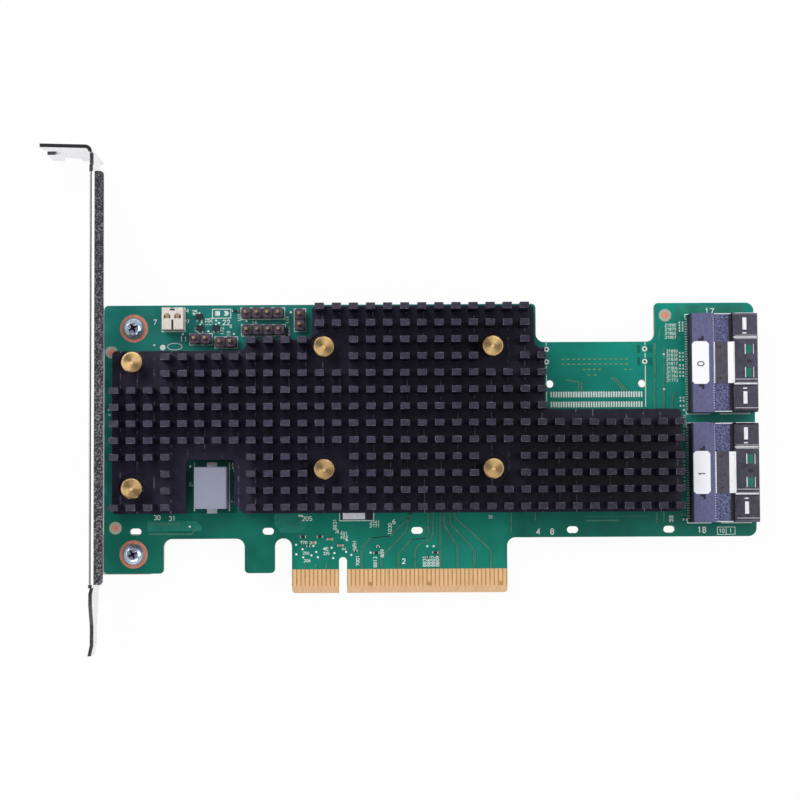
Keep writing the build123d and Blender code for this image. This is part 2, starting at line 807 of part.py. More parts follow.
def build_header(spec):
    """The moulded body and the pins of one pin header."""
    places = header_pin_places(*spec)
    along_x = spec[3]
    cell = (header_pitch, header_depth) if along_x else (header_depth, header_pitch)
    hole = header_pin + 2 * thread_clearance
    with BuildPart() as body:
        reach_x, reach_y = cell[0] / 2, cell[1] / 2
        cut_x, cut_y = reach_x - header_chamfer, reach_y - header_chamfer
        cell_outline = [(reach_x, -cut_y), (reach_x, cut_y), (cut_x, reach_y), (-cut_x, reach_y)]
        cell_outline += [(-x, -y) for x, y in cell_outline]
        with BuildSketch():
            with Locations(*places):
                Polygon(*cell_outline, align=None)
        extrude(amount=header_height)
        with BuildSketch():
            with Locations(*places):
                Rectangle(hole, hole)
        extrude(amount=header_height, mode=Mode.SUBTRACT)
    with BuildPart() as pins:
        with BuildSketch(Plane.XY.offset(board_bottom - header_pin_below)):
            with Locations(*places):
                Rectangle(header_pin, header_pin)
        extrude(amount=header_pin_below + board_thickness + header_height + header_pin_above)
    return body, pins


header_parts = {}
for name, spec in headers.items():
    body, pins = build_header(spec)
    header_parts[name + "_body"] = body
    header_parts[name + "_pins"] = pins

# Two-way latch connector: a pale body with two open cells and a slit between them
latch_x = board_left + latch_connector_from_left
latch_y = board_height - latch_connector_drop
cell_pitch = latch_connector_length / 2
latch_cells = [(latch_x + side * cell_pitch / 2, latch_y + latch_cell_rise) for side in (-1, 1)]
with BuildPart() as latch_connector_body:
    add_block(latch_x - latch_connector_length / 2, latch_x + latch_connector_length / 2,
              latch_y - latch_connector_width / 2, latch_y + latch_connector_width / 2,
              0, latch_connector_height)
    with BuildSketch(Plane.XY.offset(latch_connector_height)):
        with Locations(*latch_cells):
            Rectangle(latch_cell_length, latch_cell_width)
    extrude(amount=-latch_cell_depth, mode=Mode.SUBTRACT)
    latch_low = latch_y - latch_connector_width / 2
    latch_high = latch_y + latch_connector_width / 2
    add_block(latch_x - latch_slit / 2, latch_x + latch_slit / 2, latch_low, latch_low + latch_slit_length,
              latch_connector_height - latch_slit_depth, latch_connector_height, Mode.SUBTRACT)
    add_block(latch_x - latch_notch_width / 2, latch_x + latch_notch_width / 2,
              latch_high - latch_notch_length, latch_high,
              latch_connector_height - latch_slit_depth, latch_connector_height, Mode.SUBTRACT)

latch_pin_foot = latch_connector_height - latch_cell_depth
with BuildPart() as latch_connector_pins:
    with BuildSketch(Plane.XY.offset(latch_pin_foot)):
        with Locations(*latch_cells):
            Rectangle(latch_pin, latch_pin)
    extrude(amount=latch_pin_length)


def build_socket(middle):
    """Housing, shell, latch plate, label and contact tails of one right-angled cable socket."""
    low, high = middle - socket_width / 2, middle + socket_width / 2
    with BuildPart() as housing:
        add_block(housing_back, shell_back, low, high, 0, housing_top)
        add_block(shell_back - housing_step_length, shell_back, low, high,
                  housing_top - housing_step_drop, housing_top, Mode.SUBTRACT)
        add_block(shell_back - mating_slot_depth, shell_back, middle - mating_slot_width / 2,
                  middle + mating_slot_width / 2, mating_slot_middle - mating_slot_height / 2,
                  mating_slot_middle + mating_slot_height / 2, Mode.SUBTRACT)
        chamfer(housing.faces().sort_by(Axis.X)[0].edges().sort_by(Axis.Z)[-1], housing_back_chamfer)
    with BuildPart() as shell:
        add_block(shell_back, socket_front, low, high, shell_floor_gap, socket_height)
        chamfer(shell.edges().filter_by(Axis.X), shell_chamfer)
        add_block(shell_back, socket_front, low + shell_wall, high - shell_wall,
                  shell_floor_gap + shell_wall, socket_height - shell_wall, Mode.SUBTRACT)
        for side in (-1, 1):
            ridge = middle + shell_features_shift + side * shell_ridge_from_middle
            add_block(shell_back, socket_front, ridge - shell_ridge_width / 2, ridge + shell_ridge_width / 2,
                      socket_height, socket_height + shell_ridge_height)
            rib = middle + shell_features_shift + side * shell_rib_from_middle
            add_block(socket_front - shell_rib_inset - shell_rib_length, socket_front - shell_rib_inset,
                      rib - shell_rib_width / 2, rib + shell_rib_width / 2,
                      socket_height, socket_height + shell_rib_height)
            window = middle + shell_features_shift + side * shell_window_from_middle
            window_front = socket_front - shell_window_inset + shell_window_length / 2
            add_block(window_front - shell_window_length, window_front, window - shell_window_width / 2,
                      window + shell_window_width / 2, socket_height - shell_wall, socket_height,
                      Mode.SUBTRACT)
    plate_back = shell_back - latch_fold - latch_plate_length
    step_top = housing_top - housing_step_drop
    with BuildPart() as latch_plate:
        add_block(plate_back, shell_back, middle - latch_plate_width / 2, middle + latch_plate_width / 2,
                  step_top, step_top + latch_plate_thickness)
        with BuildSketch(Plane.XZ.offset(-middle - latch_plate_width / 2)):
            with BuildLine():
                Polyline((shell_back - latch_fold, step_top + latch_plate_thickness),
                         (shell_back, step_top + latch_plate_thickness),
                         (shell_back, socket_height), close=True)
            make_face()
        extrude(amount=latch_plate_width)
    with BuildPart() as label:
        label_left = housing_back + label_inset
        add_block(label_left, label_left + label_length, middle - label_width / 2, middle + label_width / 2,
                  housing_top, housing_top + label_thickness)
        chamfer(label.edges().filter_by(Axis.Z), label_corner)
    with BuildPart() as contacts:
        first = middle - (socket_contacts - 1) / 2 * socket_pitch
        for i in range(socket_contacts):
            y = first + i * socket_pitch
            add_block(housing_back - socket_tail_length, housing_back, y - socket_tail_width / 2,
                      y + socket_tail_width / 2, 0, socket_tail_height)
    return {"housing": housing, "shell": shell, "latch_plate": latch_plate, "label": label,
            "contacts": contacts}


socket_parts = {}
for name, middle in socket_ys.items():
    for piece, built in build_socket(middle).items():
        socket_parts[name + "_" + piece] = built

# Small surface-mounted pieces
def build_chips(places, length, width, height):
    """A group of small rectangular pieces soldered to the component face."""
    with BuildPart() as group:
        for x, y in places:
            add_block(x - length / 2, x + length / 2, y - width / 2, y + width / 2, 0, height)
    return group


def by_headers(places):
    """Places on the board from its left end and down from its top edge, in the card's frame."""
    return [(board_left + from_left, board_height - drop) for from_left, drop in places]


chip_resistors = build_chips([*by_headers(chips_by_headers), *chips_by_contacts],
                             chip_length, chip_width, chip_height)
ceramic_capacitors = build_chips(capacitors_by_contacts, chip_length, chip_width, capacitor_height)
small_transistors = build_chips(by_headers(transistors_by_headers),
                                transistor_length, transistor_width, transistor_height)
indicator_block = build_chips([indicator_from_key], indicator_length, indicator_width, indicator_height)

nodes = {
    "circuit_board": circuit_board,
    "edge_contacts_front": edge_contacts_front,
    "edge_contacts_back": edge_contacts_back,
    "bracket": bracket,
    "bracket_screws": bracket_screws,
    "controller_substrate": controller_substrate,
    "controller_lid": controller_lid,
    "thermal_pad": thermal_pad,
    "heat_sink": heat_sink,
    "heat_sink_screws": heat_sink_screws,
    "heat_sink_springs": heat_sink_springs,
    "heat_sink_nuts": heat_sink_nuts,
    "inductor_body": inductor_body,
    "inductor_terminals": inductor_terminals,
    "latch_connector_body": latch_connector_body,
    "latch_connector_pins": latch_connector_pins,
    "chip_resistors": chip_resistors,
    "ceramic_capacitors": ceramic_capacitors,
    "small_transistors": small_transistors,
    "indicator_block": indicator_block,
}
nodes.update(header_parts)
nodes.update(socket_parts)

os.makedirs("parts", exist_ok=True)
for name, piece in nodes.items():
    piece.part.label = name
    export_step(piece.part, f"parts/{name}.step")
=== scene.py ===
import math
import random

import bpy
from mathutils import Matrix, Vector


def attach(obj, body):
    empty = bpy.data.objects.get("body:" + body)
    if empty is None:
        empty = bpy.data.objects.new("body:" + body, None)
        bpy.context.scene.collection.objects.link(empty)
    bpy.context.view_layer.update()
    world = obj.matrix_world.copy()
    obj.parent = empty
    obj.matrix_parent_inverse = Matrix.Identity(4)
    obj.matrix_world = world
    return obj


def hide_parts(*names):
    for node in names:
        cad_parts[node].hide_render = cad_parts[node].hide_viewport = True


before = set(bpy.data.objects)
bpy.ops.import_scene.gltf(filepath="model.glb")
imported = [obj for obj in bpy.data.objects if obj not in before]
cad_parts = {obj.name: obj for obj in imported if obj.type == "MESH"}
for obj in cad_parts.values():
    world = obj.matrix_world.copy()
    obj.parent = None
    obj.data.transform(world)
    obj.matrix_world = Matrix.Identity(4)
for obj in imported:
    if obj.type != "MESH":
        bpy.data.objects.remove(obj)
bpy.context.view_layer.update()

scene = bpy.context.scene
MM = 0.001
rng = random.Random(4064)


# Shapes: every size below is in millimetres and becomes metres when the piece is made

class Build:
    """Collects faces in millimetres and turns them into one riding piece."""

    def __init__(self):
        self.verts, self.faces, self.smooth = [], [], []

    def add(self, verts, faces, smooth=False):
        base = len(self.verts)
        self.verts += [tuple(v) for v in verts]
        self.faces += [tuple(base + i for i in face) for face in faces]
        self.smooth += [smooth] * len(faces)

    def box(self, x0, x1, y0, y1, z0, z1, cut=0.0):
        """A box between corners in any order, whose upper edges may be cut back."""
        x0, x1 = sorted((x0, x1))
        y0, y1 = sorted((y0, y1))
        low = [(x0, y0, z0), (x1, y0, z0), (x1, y1, z0), (x0, y1, z0)]
        if cut <= 0:
            top = [(x, y, z1) for x, y, z in low]
            faces = [(3, 2, 1, 0), (4, 5, 6, 7), (0, 1, 5, 4), (1, 2, 6, 5), (2, 3, 7, 6), (3, 0, 4, 7)]
            self.add(low + top, faces)
            return
        middle = [(x, y, z1 - cut) for x, y, z in low]
        top = [(x0 + cut, y0 + cut, z1), (x1 - cut, y0 + cut, z1)]
        top += [(x1 - cut, y1 - cut, z1), (x0 + cut, y1 - cut, z1)]
        faces = [(3, 2, 1, 0), (8, 9, 10, 11)]
        for a in range(4):
            b = (a + 1) % 4
            faces += [(a, b, 4 + b, 4 + a), (4 + a, 4 + b, 8 + b, 8 + a)]
        self.add(low + middle + top, faces)

    def slab(self, x, y, half_x, half_y, z0, z1, cut=0.0):
        """A box round a middle."""
        self.box(x - half_x, x + half_x, y - half_y, y + half_y, z0, z1, cut)

    def prism(self, points, z0, z1):
        n = len(points)
        verts = [(x, y, z0) for x, y in points] + [(x, y, z1) for x, y in points]
        faces = [tuple(range(n - 1, -1, -1)), tuple(range(n, 2 * n))]
        faces += [(i, (i + 1) % n, n + (i + 1) % n, n + i) for i in range(n)]
        self.add(verts, faces)

    def lathe(self, x, y, profile, sides=32, smooth=True):
        """A solid turned about a line along Z; the profile goes (radius, z) and may end on the axis."""
        verts, rings = [], []
        angles = [math.tau * i / sides for i in range(sides)]
        for radius, z in profile:
            if radius <= 1e-6:
                rings.append([len(verts)])
                verts.append((x, y, z))
            else:
                rings.append([len(verts) + i for i in range(sides)])
                verts += [(x + radius * math.cos(a), y + radius * math.sin(a), z) for a in angles]
        faces = []
        for low, high in zip(rings, rings[1:]):
            if len(low) == 1 and len(high) == 1:
                continue
            for i in range(sides):
                j = (i + 1) % sides
                if len(low) == 1:
                    faces.append((low[0], high[j], high[i]))
                elif len(high) == 1:
                    faces.append((low[i], low[j], high[0]))
                else:
                    faces.append((low[i], low[j], high[j], high[i]))
        self.add(verts, faces, smooth)

    def ring(self, x, y, inner, outer, z0, z1, sides=40):
        self.lathe(x, y, [(inner, z0), (outer, z0), (outer, z1), (inner, z1), (inner, z0)], sides, False)

    def disc(self, x, y, radius, z0, z1, sides=20):
        self.lathe(x, y, [(0, z0), (radius, z0), (radius, z1), (0, z1)], sides, False)

    def path(self, points, width, z0, z1):
        """A ribbon of even width along a line of points, with mitred corners."""
        points = [Vector((p[0], p[1])) for p in points]
        closed = (points[0] - points[-1]).length < 1e-6
        if closed:
            points = points[:-1]
        n, left, right = len(points), [], []
        for i, point in enumerate(points):
            into = (point - points[i - 1]).normalized() if i > 0 or closed else None
            out = (points[(i + 1) % n] - point).normalized() if i < n - 1 or closed else None
            into = into or out
            out = out or into
            bend = Vector((-(into.y + out.y), into.x + out.x))
            across = Vector((-out.y, out.x))
            bend = bend.normalized() if bend.length > 1e-6 else across
            reach = width / 2 / max(0.4, bend.dot(across))
            left.append(point + bend * reach)
            right.append(point - bend * reach)
        verts = [(v.x, v.y, z) for z in (z0, z1) for side in (left, right) for v in side]
        faces = []
        for i in range(n if closed else n - 1):
            j = (i + 1) % n
            faces += [(2 * n + i, 3 * n + i, 3 * n + j, 2 * n + j), (i, 2 * n + i, 2 * n + j, j),
                      (n + j, 3 * n + j, 3 * n + i, n + i), (i, j, n + j, n + i)]
        self.add(verts, faces)

    def frame(self, x0, x1, y0, y1, width, z0, z1):
        """A ribbon round a rectangle."""
        self.path([(x0, y0), (x1, y0), (x1, y1), (x0, y1), (x0, y0)], width, z0, z1)

    def tube(self, points, radius, sides=8):
        """A round wire along a line of points in space."""
        points = [Vector(p) for p in points]
        verts, faces = [], []
        side = None
        for i, point in enumerate(points):
            along = (points[min(i + 1, len(points) - 1)] - points[max(i - 1, 0)]).normalized()
            if side is None:
                side = along.orthogonal().cross(along).normalized()
            side = (side - along * side.dot(along)).normalized()
            up = along.cross(side)
            for k in range(sides):
                angle = math.tau * k / sides
                verts.append(point + (side * math.cos(angle) + up * math.sin(angle)) * radius)
        for i in range(len(points) - 1):
            for k in range(sides):
                m = (k + 1) % sides
                faces.append((i * sides + k, i * sides + m, (i + 1) * sides + m, (i + 1) * sides + k))
        last = (len(points) - 1) * sides
        faces += [tuple(range(sides - 1, -1, -1)), tuple(last + k for k in range(sides))]
        self.add(verts, faces, True)

    def done(self, name, finish, slot, replaces=(), origin=(0, 0)):
        """Makes the piece, with its own origin over a point of the board."""
        ox, oy = origin
        mesh = bpy.data.meshes.new(name)
        mesh.from_pydata([((x - ox) * MM, (y - oy) * MM, z * MM) for x, y, z in self.verts], [], self.faces)
        mesh.polygons.foreach_set("use_smooth", self.smooth)
        mesh.validate()
        mesh.update()
        mesh.materials.append(finish.material)
        piece = bpy.data.objects.new(name, mesh)
        piece.location = (ox * MM, oy * MM, 0)
        scene.collection.objects.link(piece)
        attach(piece, "root")
        if replaces:
            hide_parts(*replaces)
        return piece


# Strokes of plain numerals, in a cell 0.6 wide and 1 high
STROKES = {
    "0": [[(0, .2), (0, .8), (.2, 1), (.4, 1), (.6, .8), (.6, .2), (.4, 0), (.2, 0), (0, .2)]],
    "1": [[(.12, .8), (.32, 1), (.32, 0)]],
    "2": [[(0, .8), (.15, 1), (.45, 1), (.6, .8), (.6, .62), (0, 0), (.6, 0)]],
    "3": [[(0, .9), (.15, 1), (.45, 1), (.6, .8), (.45, .53), (.6, .3), (.6, .15), (.45, 0), (.15, 0),
           (0, .1)]],
    "4": [[(.45, 0), (.45, 1), (0, .32), (.6, .32)]],
    "5": [[(.55, 1), (.05, 1), (0, .56), (.4, .6), (.6, .42), (.6, .18), (.4, 0), (0, .1)]],
    "6": [[(.5, 1), (.2, .95), (0, .6), (0, .2), (.2, 0), (.4, 0), (.6, .2), (.6, .38), (.4, .55),
           (.05, .5)]],
    "7": [[(0, 1), (.6, 1), (.2, 0)]],
    "8": [[(.15, .53), (0, .75), (.15, 1), (.45, 1), (.6, .75), (.45, .53), (.15, .53), (0, .25), (.15, 0),
           (.45, 0), (.6, .25), (.45, .53)]],
    "9": [[(.1, 0), (.4, .05), (.6, .4), (.6, .8), (.4, 1), (.2, 1), (0, .8), (0, .62), (.2, .45),
           (.55, .5)]],
}
DIGIT_WIDTH = 0.6
DIGIT_STEP = 0.88
STROKE_SHARE = 0.17
QUARTER_TURNS = ((1, 0), (0, 1))    # cosine and sine of no turn and of a quarter turn


def numeral(build, text, x, y, height, stroke, z0, z1, turned=0):
    """Plain numerals with their lower left corner at a place, level or turned a quarter."""
    cos, sin = QUARTER_TURNS[turned]
    for k, digit in enumerate(text):
        for line in STROKES[digit]:
            points = [((px + k * DIGIT_STEP) * height, py * height) for px, py in line]
            points = [(x + px * cos - py * sin, y + px * sin + py * cos) for px, py in points]
            build.path(points, stroke, z0, z1)


# Finishes

def linear(rgb):
    """A colour given as it shows on a screen, 0 to 255, in the shader's own terms."""
    shares = [v / 255 for v in rgb]
    return [v / 12.92 if v <= 0.04045 else ((v + 0.055) / 1.055) ** 2.4 for v in shares] + [1.0]


def fill(tree, node, key, value):
    """Sets a node's input to a value, or links it to a socket."""
    if isinstance(value, bpy.types.NodeSocket):
        tree.links.new(value, node.inputs[key])
    else:
        node.inputs[key].default_value = value


def add_node(tree, kind, inputs=None, **properties):
    """A node with its properties set first and its inputs after them."""
    node = tree.nodes.new(kind)
    for key, value in properties.items():
        setattr(node, key, value)
    for key, value in (inputs or {}).items():
        fill(tree, node, key, value)
    return node


class Finish:
    """A node material with colour, roughness and bump that vary at the surface's real scale."""

    def __init__(self, name, rgb, rough=0.5, metallic=0.0, **sockets):
        self.material = bpy.data.materials.new(name)
        self.material.use_nodes = True
        self.tree = self.material.node_tree
        self.bsdf = self.tree.nodes["Principled BSDF"]
        self.set("Base Color", linear(rgb))
        self.set("Roughness", rough)
        self.set("Metallic", metallic)
        for key, value in sockets.items():
            self.set(key.replace("_", " "), value)
        self.rgb = rgb
        self.colour = None
        self.where = self.node("ShaderNodeTexCoord").outputs["Object"]

    def set(self, socket, value):
        fill(self.tree, self.bsdf, socket, value)

    def node(self, kind, inputs=None, **properties):
        return add_node(self.tree, kind, inputs, **properties)

    def math(self, operation, *values, clamp=False):
        inputs = dict(enumerate(values))
        return self.node("ShaderNodeMath", inputs, operation=operation, use_clamp=clamp).outputs[0]

    def times(self, a, b):
        return self.math("MULTIPLY", a, b)

    def distance(self, a, b):
        return self.math("ABSOLUTE", self.math("SUBTRACT", a, b))

    def ramp(self, value, start, end, low=0.0, high=1.0):
        """Runs from `low` at `start` to `high` at `end` and stays level outside them."""
        inputs = {0: value, 1: start, 2: end, 3: low, 4: high}
        return self.node("ShaderNodeMapRange", inputs, clamp=True).outputs[0]

    def noise(self, size, detail=3.0, stretch=(1, 1, 1), rough=0.55):
        """Noise whose features are about `size` millimetres across."""
        scaled = self.node("ShaderNodeMapping", {"Vector": self.where, "Scale": [1 / s for s in stretch]})
        inputs = {"Vector": scaled.outputs[0], "Scale": 1 / MM / size, "Detail": detail, "Roughness": rough}
        return self.node("ShaderNodeTexNoise", inputs).outputs["Fac"]

    def patches(self, size, detail=3.0, stretch=(1, 1, 1), rough=0.55, edges=(0.3, 0.7)):
        """Noise with its two ends levelled off."""
        return self.ramp(self.noise(size, detail, stretch, rough), *edges)

    def place(self, axis):
        """The place along an axis of the piece, in metres."""
        return self.node("ShaderNodeSeparateXYZ", {0: self.where}).outputs[axis]

    def along(self, axis, start, end, low=0.0, high=1.0):
        """A ramp between two places along an axis, in millimetres."""
        return self.ramp(self.place(axis), start * MM, end * MM, low, high)

    def above(self, axis, limit):
        return self.math("GREATER_THAN", self.place(axis), limit * MM)

    def below(self, axis, limit):
        return self.math("LESS_THAN", self.place(axis), limit * MM)

    def within(self, axis, middle, half):
        return self.math("LESS_THAN", self.distance(self.place(axis), middle * MM), half * MM)

    def facing(self, axis):
        """How far the surface faces along an axis, from -1 to 1."""
        normal = self.node("ShaderNodeNewGeometry").outputs["Normal"]
        return self.node("ShaderNodeSeparateXYZ", {0: normal}).outputs[axis]

    def blend(self, share, first, second):
        """A colour between two, each given as a screen colour or a socket."""
        first, second = [linear(c) if isinstance(c, tuple) else c for c in (first, second)]
        return self.node("ShaderNodeMix", {0: share, 6: first, 7: second}, data_type="RGBA").outputs[2]

    def paint(self, colour):
        self.colour = colour
        self.set("Base Color", colour)

    def vary(self, share, dark, light):
        """Colour that wanders between a darker and a lighter shade of the finish's own."""
        shades = [tuple(min(255, v * factor) for v in self.rgb) for factor in (dark, light)]
        self.paint(self.blend(share, *shades))
        return self

    def wear(self, noise, low, high):
        """Roughness that wanders between two values."""
        self.set("Roughness", self.ramp(noise, 0.3, 0.7, low, high))
        return self

    def bump(self, height, depth, strength=1.0):
        """Relief of about `depth` millimetres."""
        inputs = {"Strength": strength, "Distance": depth * MM, "Height": height}
        self.set("Normal", self.node("ShaderNodeBump", inputs).outputs[0])
        return self


def plain(name, rgb, rough, metallic, patch, shades, grain, relief, **sockets):
    """A finish whose colour wanders in patches between two shades, with a fine grain in relief.

    Patch and grain give a size in millimetres and the noise's detail; relief gives a depth and a strength.
    """
    finish = Finish(name, rgb, rough, metallic, **sockets)
    finish.vary(finish.patches(*patch), *shades)
    return finish.bump(finish.noise(*grain), *relief)


def assign(node, finish):
    """Gives a CAD piece its finish."""
    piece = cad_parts[node]
    if not piece.material_slots:
        piece.data.materials.append(finish.material)
    for slot in piece.material_slots:
        slot.material = finish.material


# How strongly a dull finish mirrors, and how far noise is drawn out along an axis
DULL = {"Specular_IOR_Level": 0.2}
MATT = {"Specular_IOR_Level": 0.3}
ALONG_X = (3, 1, 1)
ALONG_Y = (1, 4, 1)

# Solder mask over laminate: green on both faces, tan weave on the sawn edges and round the contacts, and
# painted shadow on the board in the heat sink's window
MASK = Finish("mask_green", (16, 120, 104), 0.36, 0.0, Coat_Weight=0.05, Coat_Roughness=0.2, **DULL)
weave = MASK.noise(0.35, 2, ALONG_X)
cloud = MASK.patches(9, 2, edges=(0.35, 0.65))
left_green = MASK.blend(cloud, (26, 116, 109), (33, 130, 121))
middle_green = MASK.blend(cloud, (4, 116, 102), (8, 128, 112))
right_green = MASK.blend(cloud, (6, 124, 110), (10, 140, 122))
low_green = MASK.blend(cloud, (12, 94, 80), (16, 108, 92))
tab_green = MASK.blend(cloud, (16, 116, 98), (20, 130, 110))
window_shadow_green = (2, 40, 36)
sawn = MASK.blend(MASK.ramp(weave, 0.4, 0.6), (150, 120, 84), (196, 160, 112))
bare = MASK.blend(MASK.ramp(weave, 0.4, 0.6), (166, 128, 84), (186, 148, 100))
bevel = MASK.blend(MASK.patches(0.5, 3, ALONG_Y, edges=(0.35, 0.65)), (206, 164, 124), (220, 182, 142))
green = MASK.blend(MASK.along("X", -20, 40), left_green, middle_green)
green = MASK.blend(MASK.along("X", 55, 75), green, right_green)
near_tab = MASK.times(MASK.along("X", -14, -10), MASK.along("X", 43, 38))
low_green = MASK.blend(near_tab, low_green, tab_green)
green = MASK.blend(MASK.along("Y", 18.5, 21.5), low_green, green)
# Painted shadow: the board's upward faces in the heat sink's window turn dark green
window_shadow = MASK.times(MASK.within("X", -31.25, 6), MASK.within("Y", 25.6, 6.5))
window_shadow = MASK.times(window_shadow, MASK.ramp(MASK.facing("Z"), 0.5, 0.6, 0.0, 0.6))
green = MASK.blend(window_shadow, green, window_shadow_green)
on_tab = MASK.times(MASK.below("Y", 5.65), MASK.above("X", -14))
green = MASK.blend(on_tab, green, MASK.blend(MASK.along("Y", 1.6, 1.8), bevel, bare))
flat = MASK.ramp(MASK.math("ABSOLUTE", MASK.facing("Z")), 0.6, 0.75)
MASK.paint(MASK.blend(flat, sawn, green))
MASK.bump(MASK.math("ADD", MASK.noise(0.9, 2), MASK.times(weave, 0.3)), 0.012, 0.4)

POUR = plain("mask_over_copper", (36, 126, 108), 0.34, 0.0, (3, 2), (0.9, 1.08), (0.6,), (0.008, 0.4),
             Coat_Weight=0.05, **DULL)
TRACE = plain("mask_over_runs", (74, 128, 110), 0.36, 0.0, (1.2, 3), (0.84, 1.1), (0.4,), (0.008, 0.4),
              Coat_Weight=0.05, **DULL)
PATCH = plain("mask_patch", (6, 104, 90), 0.36, 0.0, (2, 2), (0.92, 1.06), (0.5,), (0.008, 0.4), **DULL)
GAP = plain("mask_in_gap", (8, 84, 72), 0.36, 0.0, (2, 2), (0.9, 1.08), (0.5,), (0.008, 0.4), **DULL)
# A green sheet that glows inside each socket mouth, standing in for the light that reaches the board there
LIT = plain("mask_lit_inside", (10, 110, 92), 0.5, 0.0, (0.8, 2), (0.9, 1.05), (0.5,), (0.008, 0.4),
            Emission_Strength=0.6, Emission_Color=linear((6, 104, 86)))

FINGERS = plain("plated_fingers", (232, 188, 138), 0.4, 0.12, (1.4, 3, ALONG_Y), (0.95, 1.03),
                (0.18, 3, (1, 8, 1)), (0.004, 0.4))
FINGERS.wear(FINGERS.noise(0.5, 3, (1, 6, 1)), 0.34, 0.46)
GOLD = plain("plated_gold", (206, 176, 140), 0.3, 0.8, (0.4, 3), (0.8, 1.08), (0.18, 3), (0.004, 0.4))
GOLD.wear(GOLD.noise(0.3, 3), 0.24, 0.4)
COPPER = plain("bare_copper", (228, 148, 124), 0.42, 0.5, (0.6, 3), (0.9, 1.06), (0.2,), (0.008, 0.5))
TIN = plain("solder_tin", (214, 220, 224), 0.34, 0.45, (0.3, 3), (0.86, 1.05), (0.15,), (0.012, 0.6))
PINK = plain("fiducial_pink", (226, 138, 112), 0.5, 0.2, (0.3,), (0.92, 1.06), (0.15,), (0.006, 0.4))
PALE = plain("fiducial_pale", (168, 170, 156), 0.55, 0.0, (0.3,), (0.92, 1.06), (0.15,), (0.006, 0.4))
SILK = Finish("silk_white", (232, 244, 240), 0.6)
SILK.vary(SILK.patches(0.25, 2, edges=(0.35, 0.7)), 0.92, 1.03).bump(SILK.noise(0.12), 0.01, 0.5)
PADS = Finish("levelled_pads", (228, 238, 236), 0.42, 0.1)
PADS.vary(PADS.patches(0.4, 2, edges=(0.35, 0.7)), 0.9, 1.04).bump(PADS.noise(0.2), 0.008, 0.5)

# Bracket sheet: bright plating on the rolled faces, dark sheared edges, and on the flange a painted dark
# reflection with a painted highlight and a painted line of shade along its bend
SHEET = Finish("bracket_sheet", (228, 229, 233), 0.3, 0.7, **MATT)
flange = SHEET.times(SHEET.ramp(SHEET.facing("Z"), 0.6, 0.8), SHEET.above("Z", 12.2))
sheared = SHEET.ramp(SHEET.math("ABSOLUTE", SHEET.facing("Z")), 0.7, 0.9)
ears = SHEET.times(sheared, SHEET.times(SHEET.below("Z", -1.4), SHEET.above("Z", -2.7)))
sheared = SHEET.math("SUBTRACT", sheared, ears, clamp=True)
grain = SHEET.noise(0.3, 3, (1, 5, 1))
grit = SHEET.noise(0.34, 2, rough=0.7)
bright = SHEET.blend(SHEET.ramp(grain, 0.3, 0.7), (226, 227, 232), (246, 246, 248))
cut_tone = SHEET.blend(SHEET.ramp(grit, 0.45, 0.7), (38, 36, 42), (98, 94, 92))
# The flange's dark speckled colour is a painted reflection of the dark space above, darker further along Y
flange_reflection = SHEET.blend(SHEET.ramp(grit, 0.5, 0.66), (34, 33, 40), (150, 148, 154))
flange_reflection = SHEET.blend(SHEET.along("Y", 20, 100, 0.0, 0.35), flange_reflection, (30, 29, 34))
# A painted highlight along the flange's bend, then a painted line of shade at its outer edge
bend_highlight = SHEET.times(SHEET.along("X", -58.15, -58.0), SHEET.along("X", -57.3, -57.5))
flange_reflection = SHEET.blend(bend_highlight, flange_reflection, (250, 250, 252))
flange_reflection = SHEET.blend(SHEET.along("X", -58.0, -58.1), flange_reflection, (26, 26, 31))
SHEET.paint(SHEET.blend(flange, SHEET.blend(sheared, bright, cut_tone), flange_reflection))
dull = SHEET.math("MAXIMUM", flange, sheared)
SHEET.set("Roughness", SHEET.ramp(dull, 0, 1, 0.3, 0.62))
SHEET.set("Metallic", SHEET.ramp(dull, 0, 1, 0.7, 0.0))
SHEET.bump(SHEET.math("ADD", grain, SHEET.times(grit, 2.0)), 0.008, 0.5)

# Pins of the heat sink: their tops, the pitch along X and Y, and the middle of the first one
PIN_TOP = 12.4
PIN_PITCH_X = 4.0
PIN_PITCH_Y = 3.908
FIRST_PIN = (-53.0, 20.5)

# Black anodised aluminium: pin tops lighter from milling and a painted highlight, fine light lines between
# them, a darker far arm
BLACK = Finish("anodised", (34, 31, 52), 0.42, 0.0, Specular_IOR_Level=0.28)
up = BLACK.ramp(BLACK.facing("Z"), 0.8, 0.95)
tops = BLACK.times(up, BLACK.above("Z", 11.5))
mill = BLACK.noise(0.16, 3, (9, 1, 1))
flecks = BLACK.noise(0.32, 4, rough=0.75)
streak = BLACK.noise(0.1, 3, (1, 26, 1), 0.7)
speck = BLACK.math("MAXIMUM", BLACK.ramp(flecks, 0.66, 0.74), BLACK.ramp(streak, 0.68, 0.76))
column = BLACK.math("FRACT", BLACK.math("MULTIPLY_ADD", BLACK.place("X"), 1 / (PIN_PITCH_X * MM), 13.75))
line = BLACK.ramp(BLACK.distance(column, 0.62), 0.05, 0.0)
line = BLACK.times(BLACK.times(line, BLACK.patches(2.4, 3, rough=0.7, edges=(0.5, 0.62))), up)
line = BLACK.times(line, BLACK.math("SUBTRACT", 0.7, BLACK.times(tops, 0.7)))
floor_tone = BLACK.blend(BLACK.patches(4, 3), (32, 28, 48), (44, 39, 62))
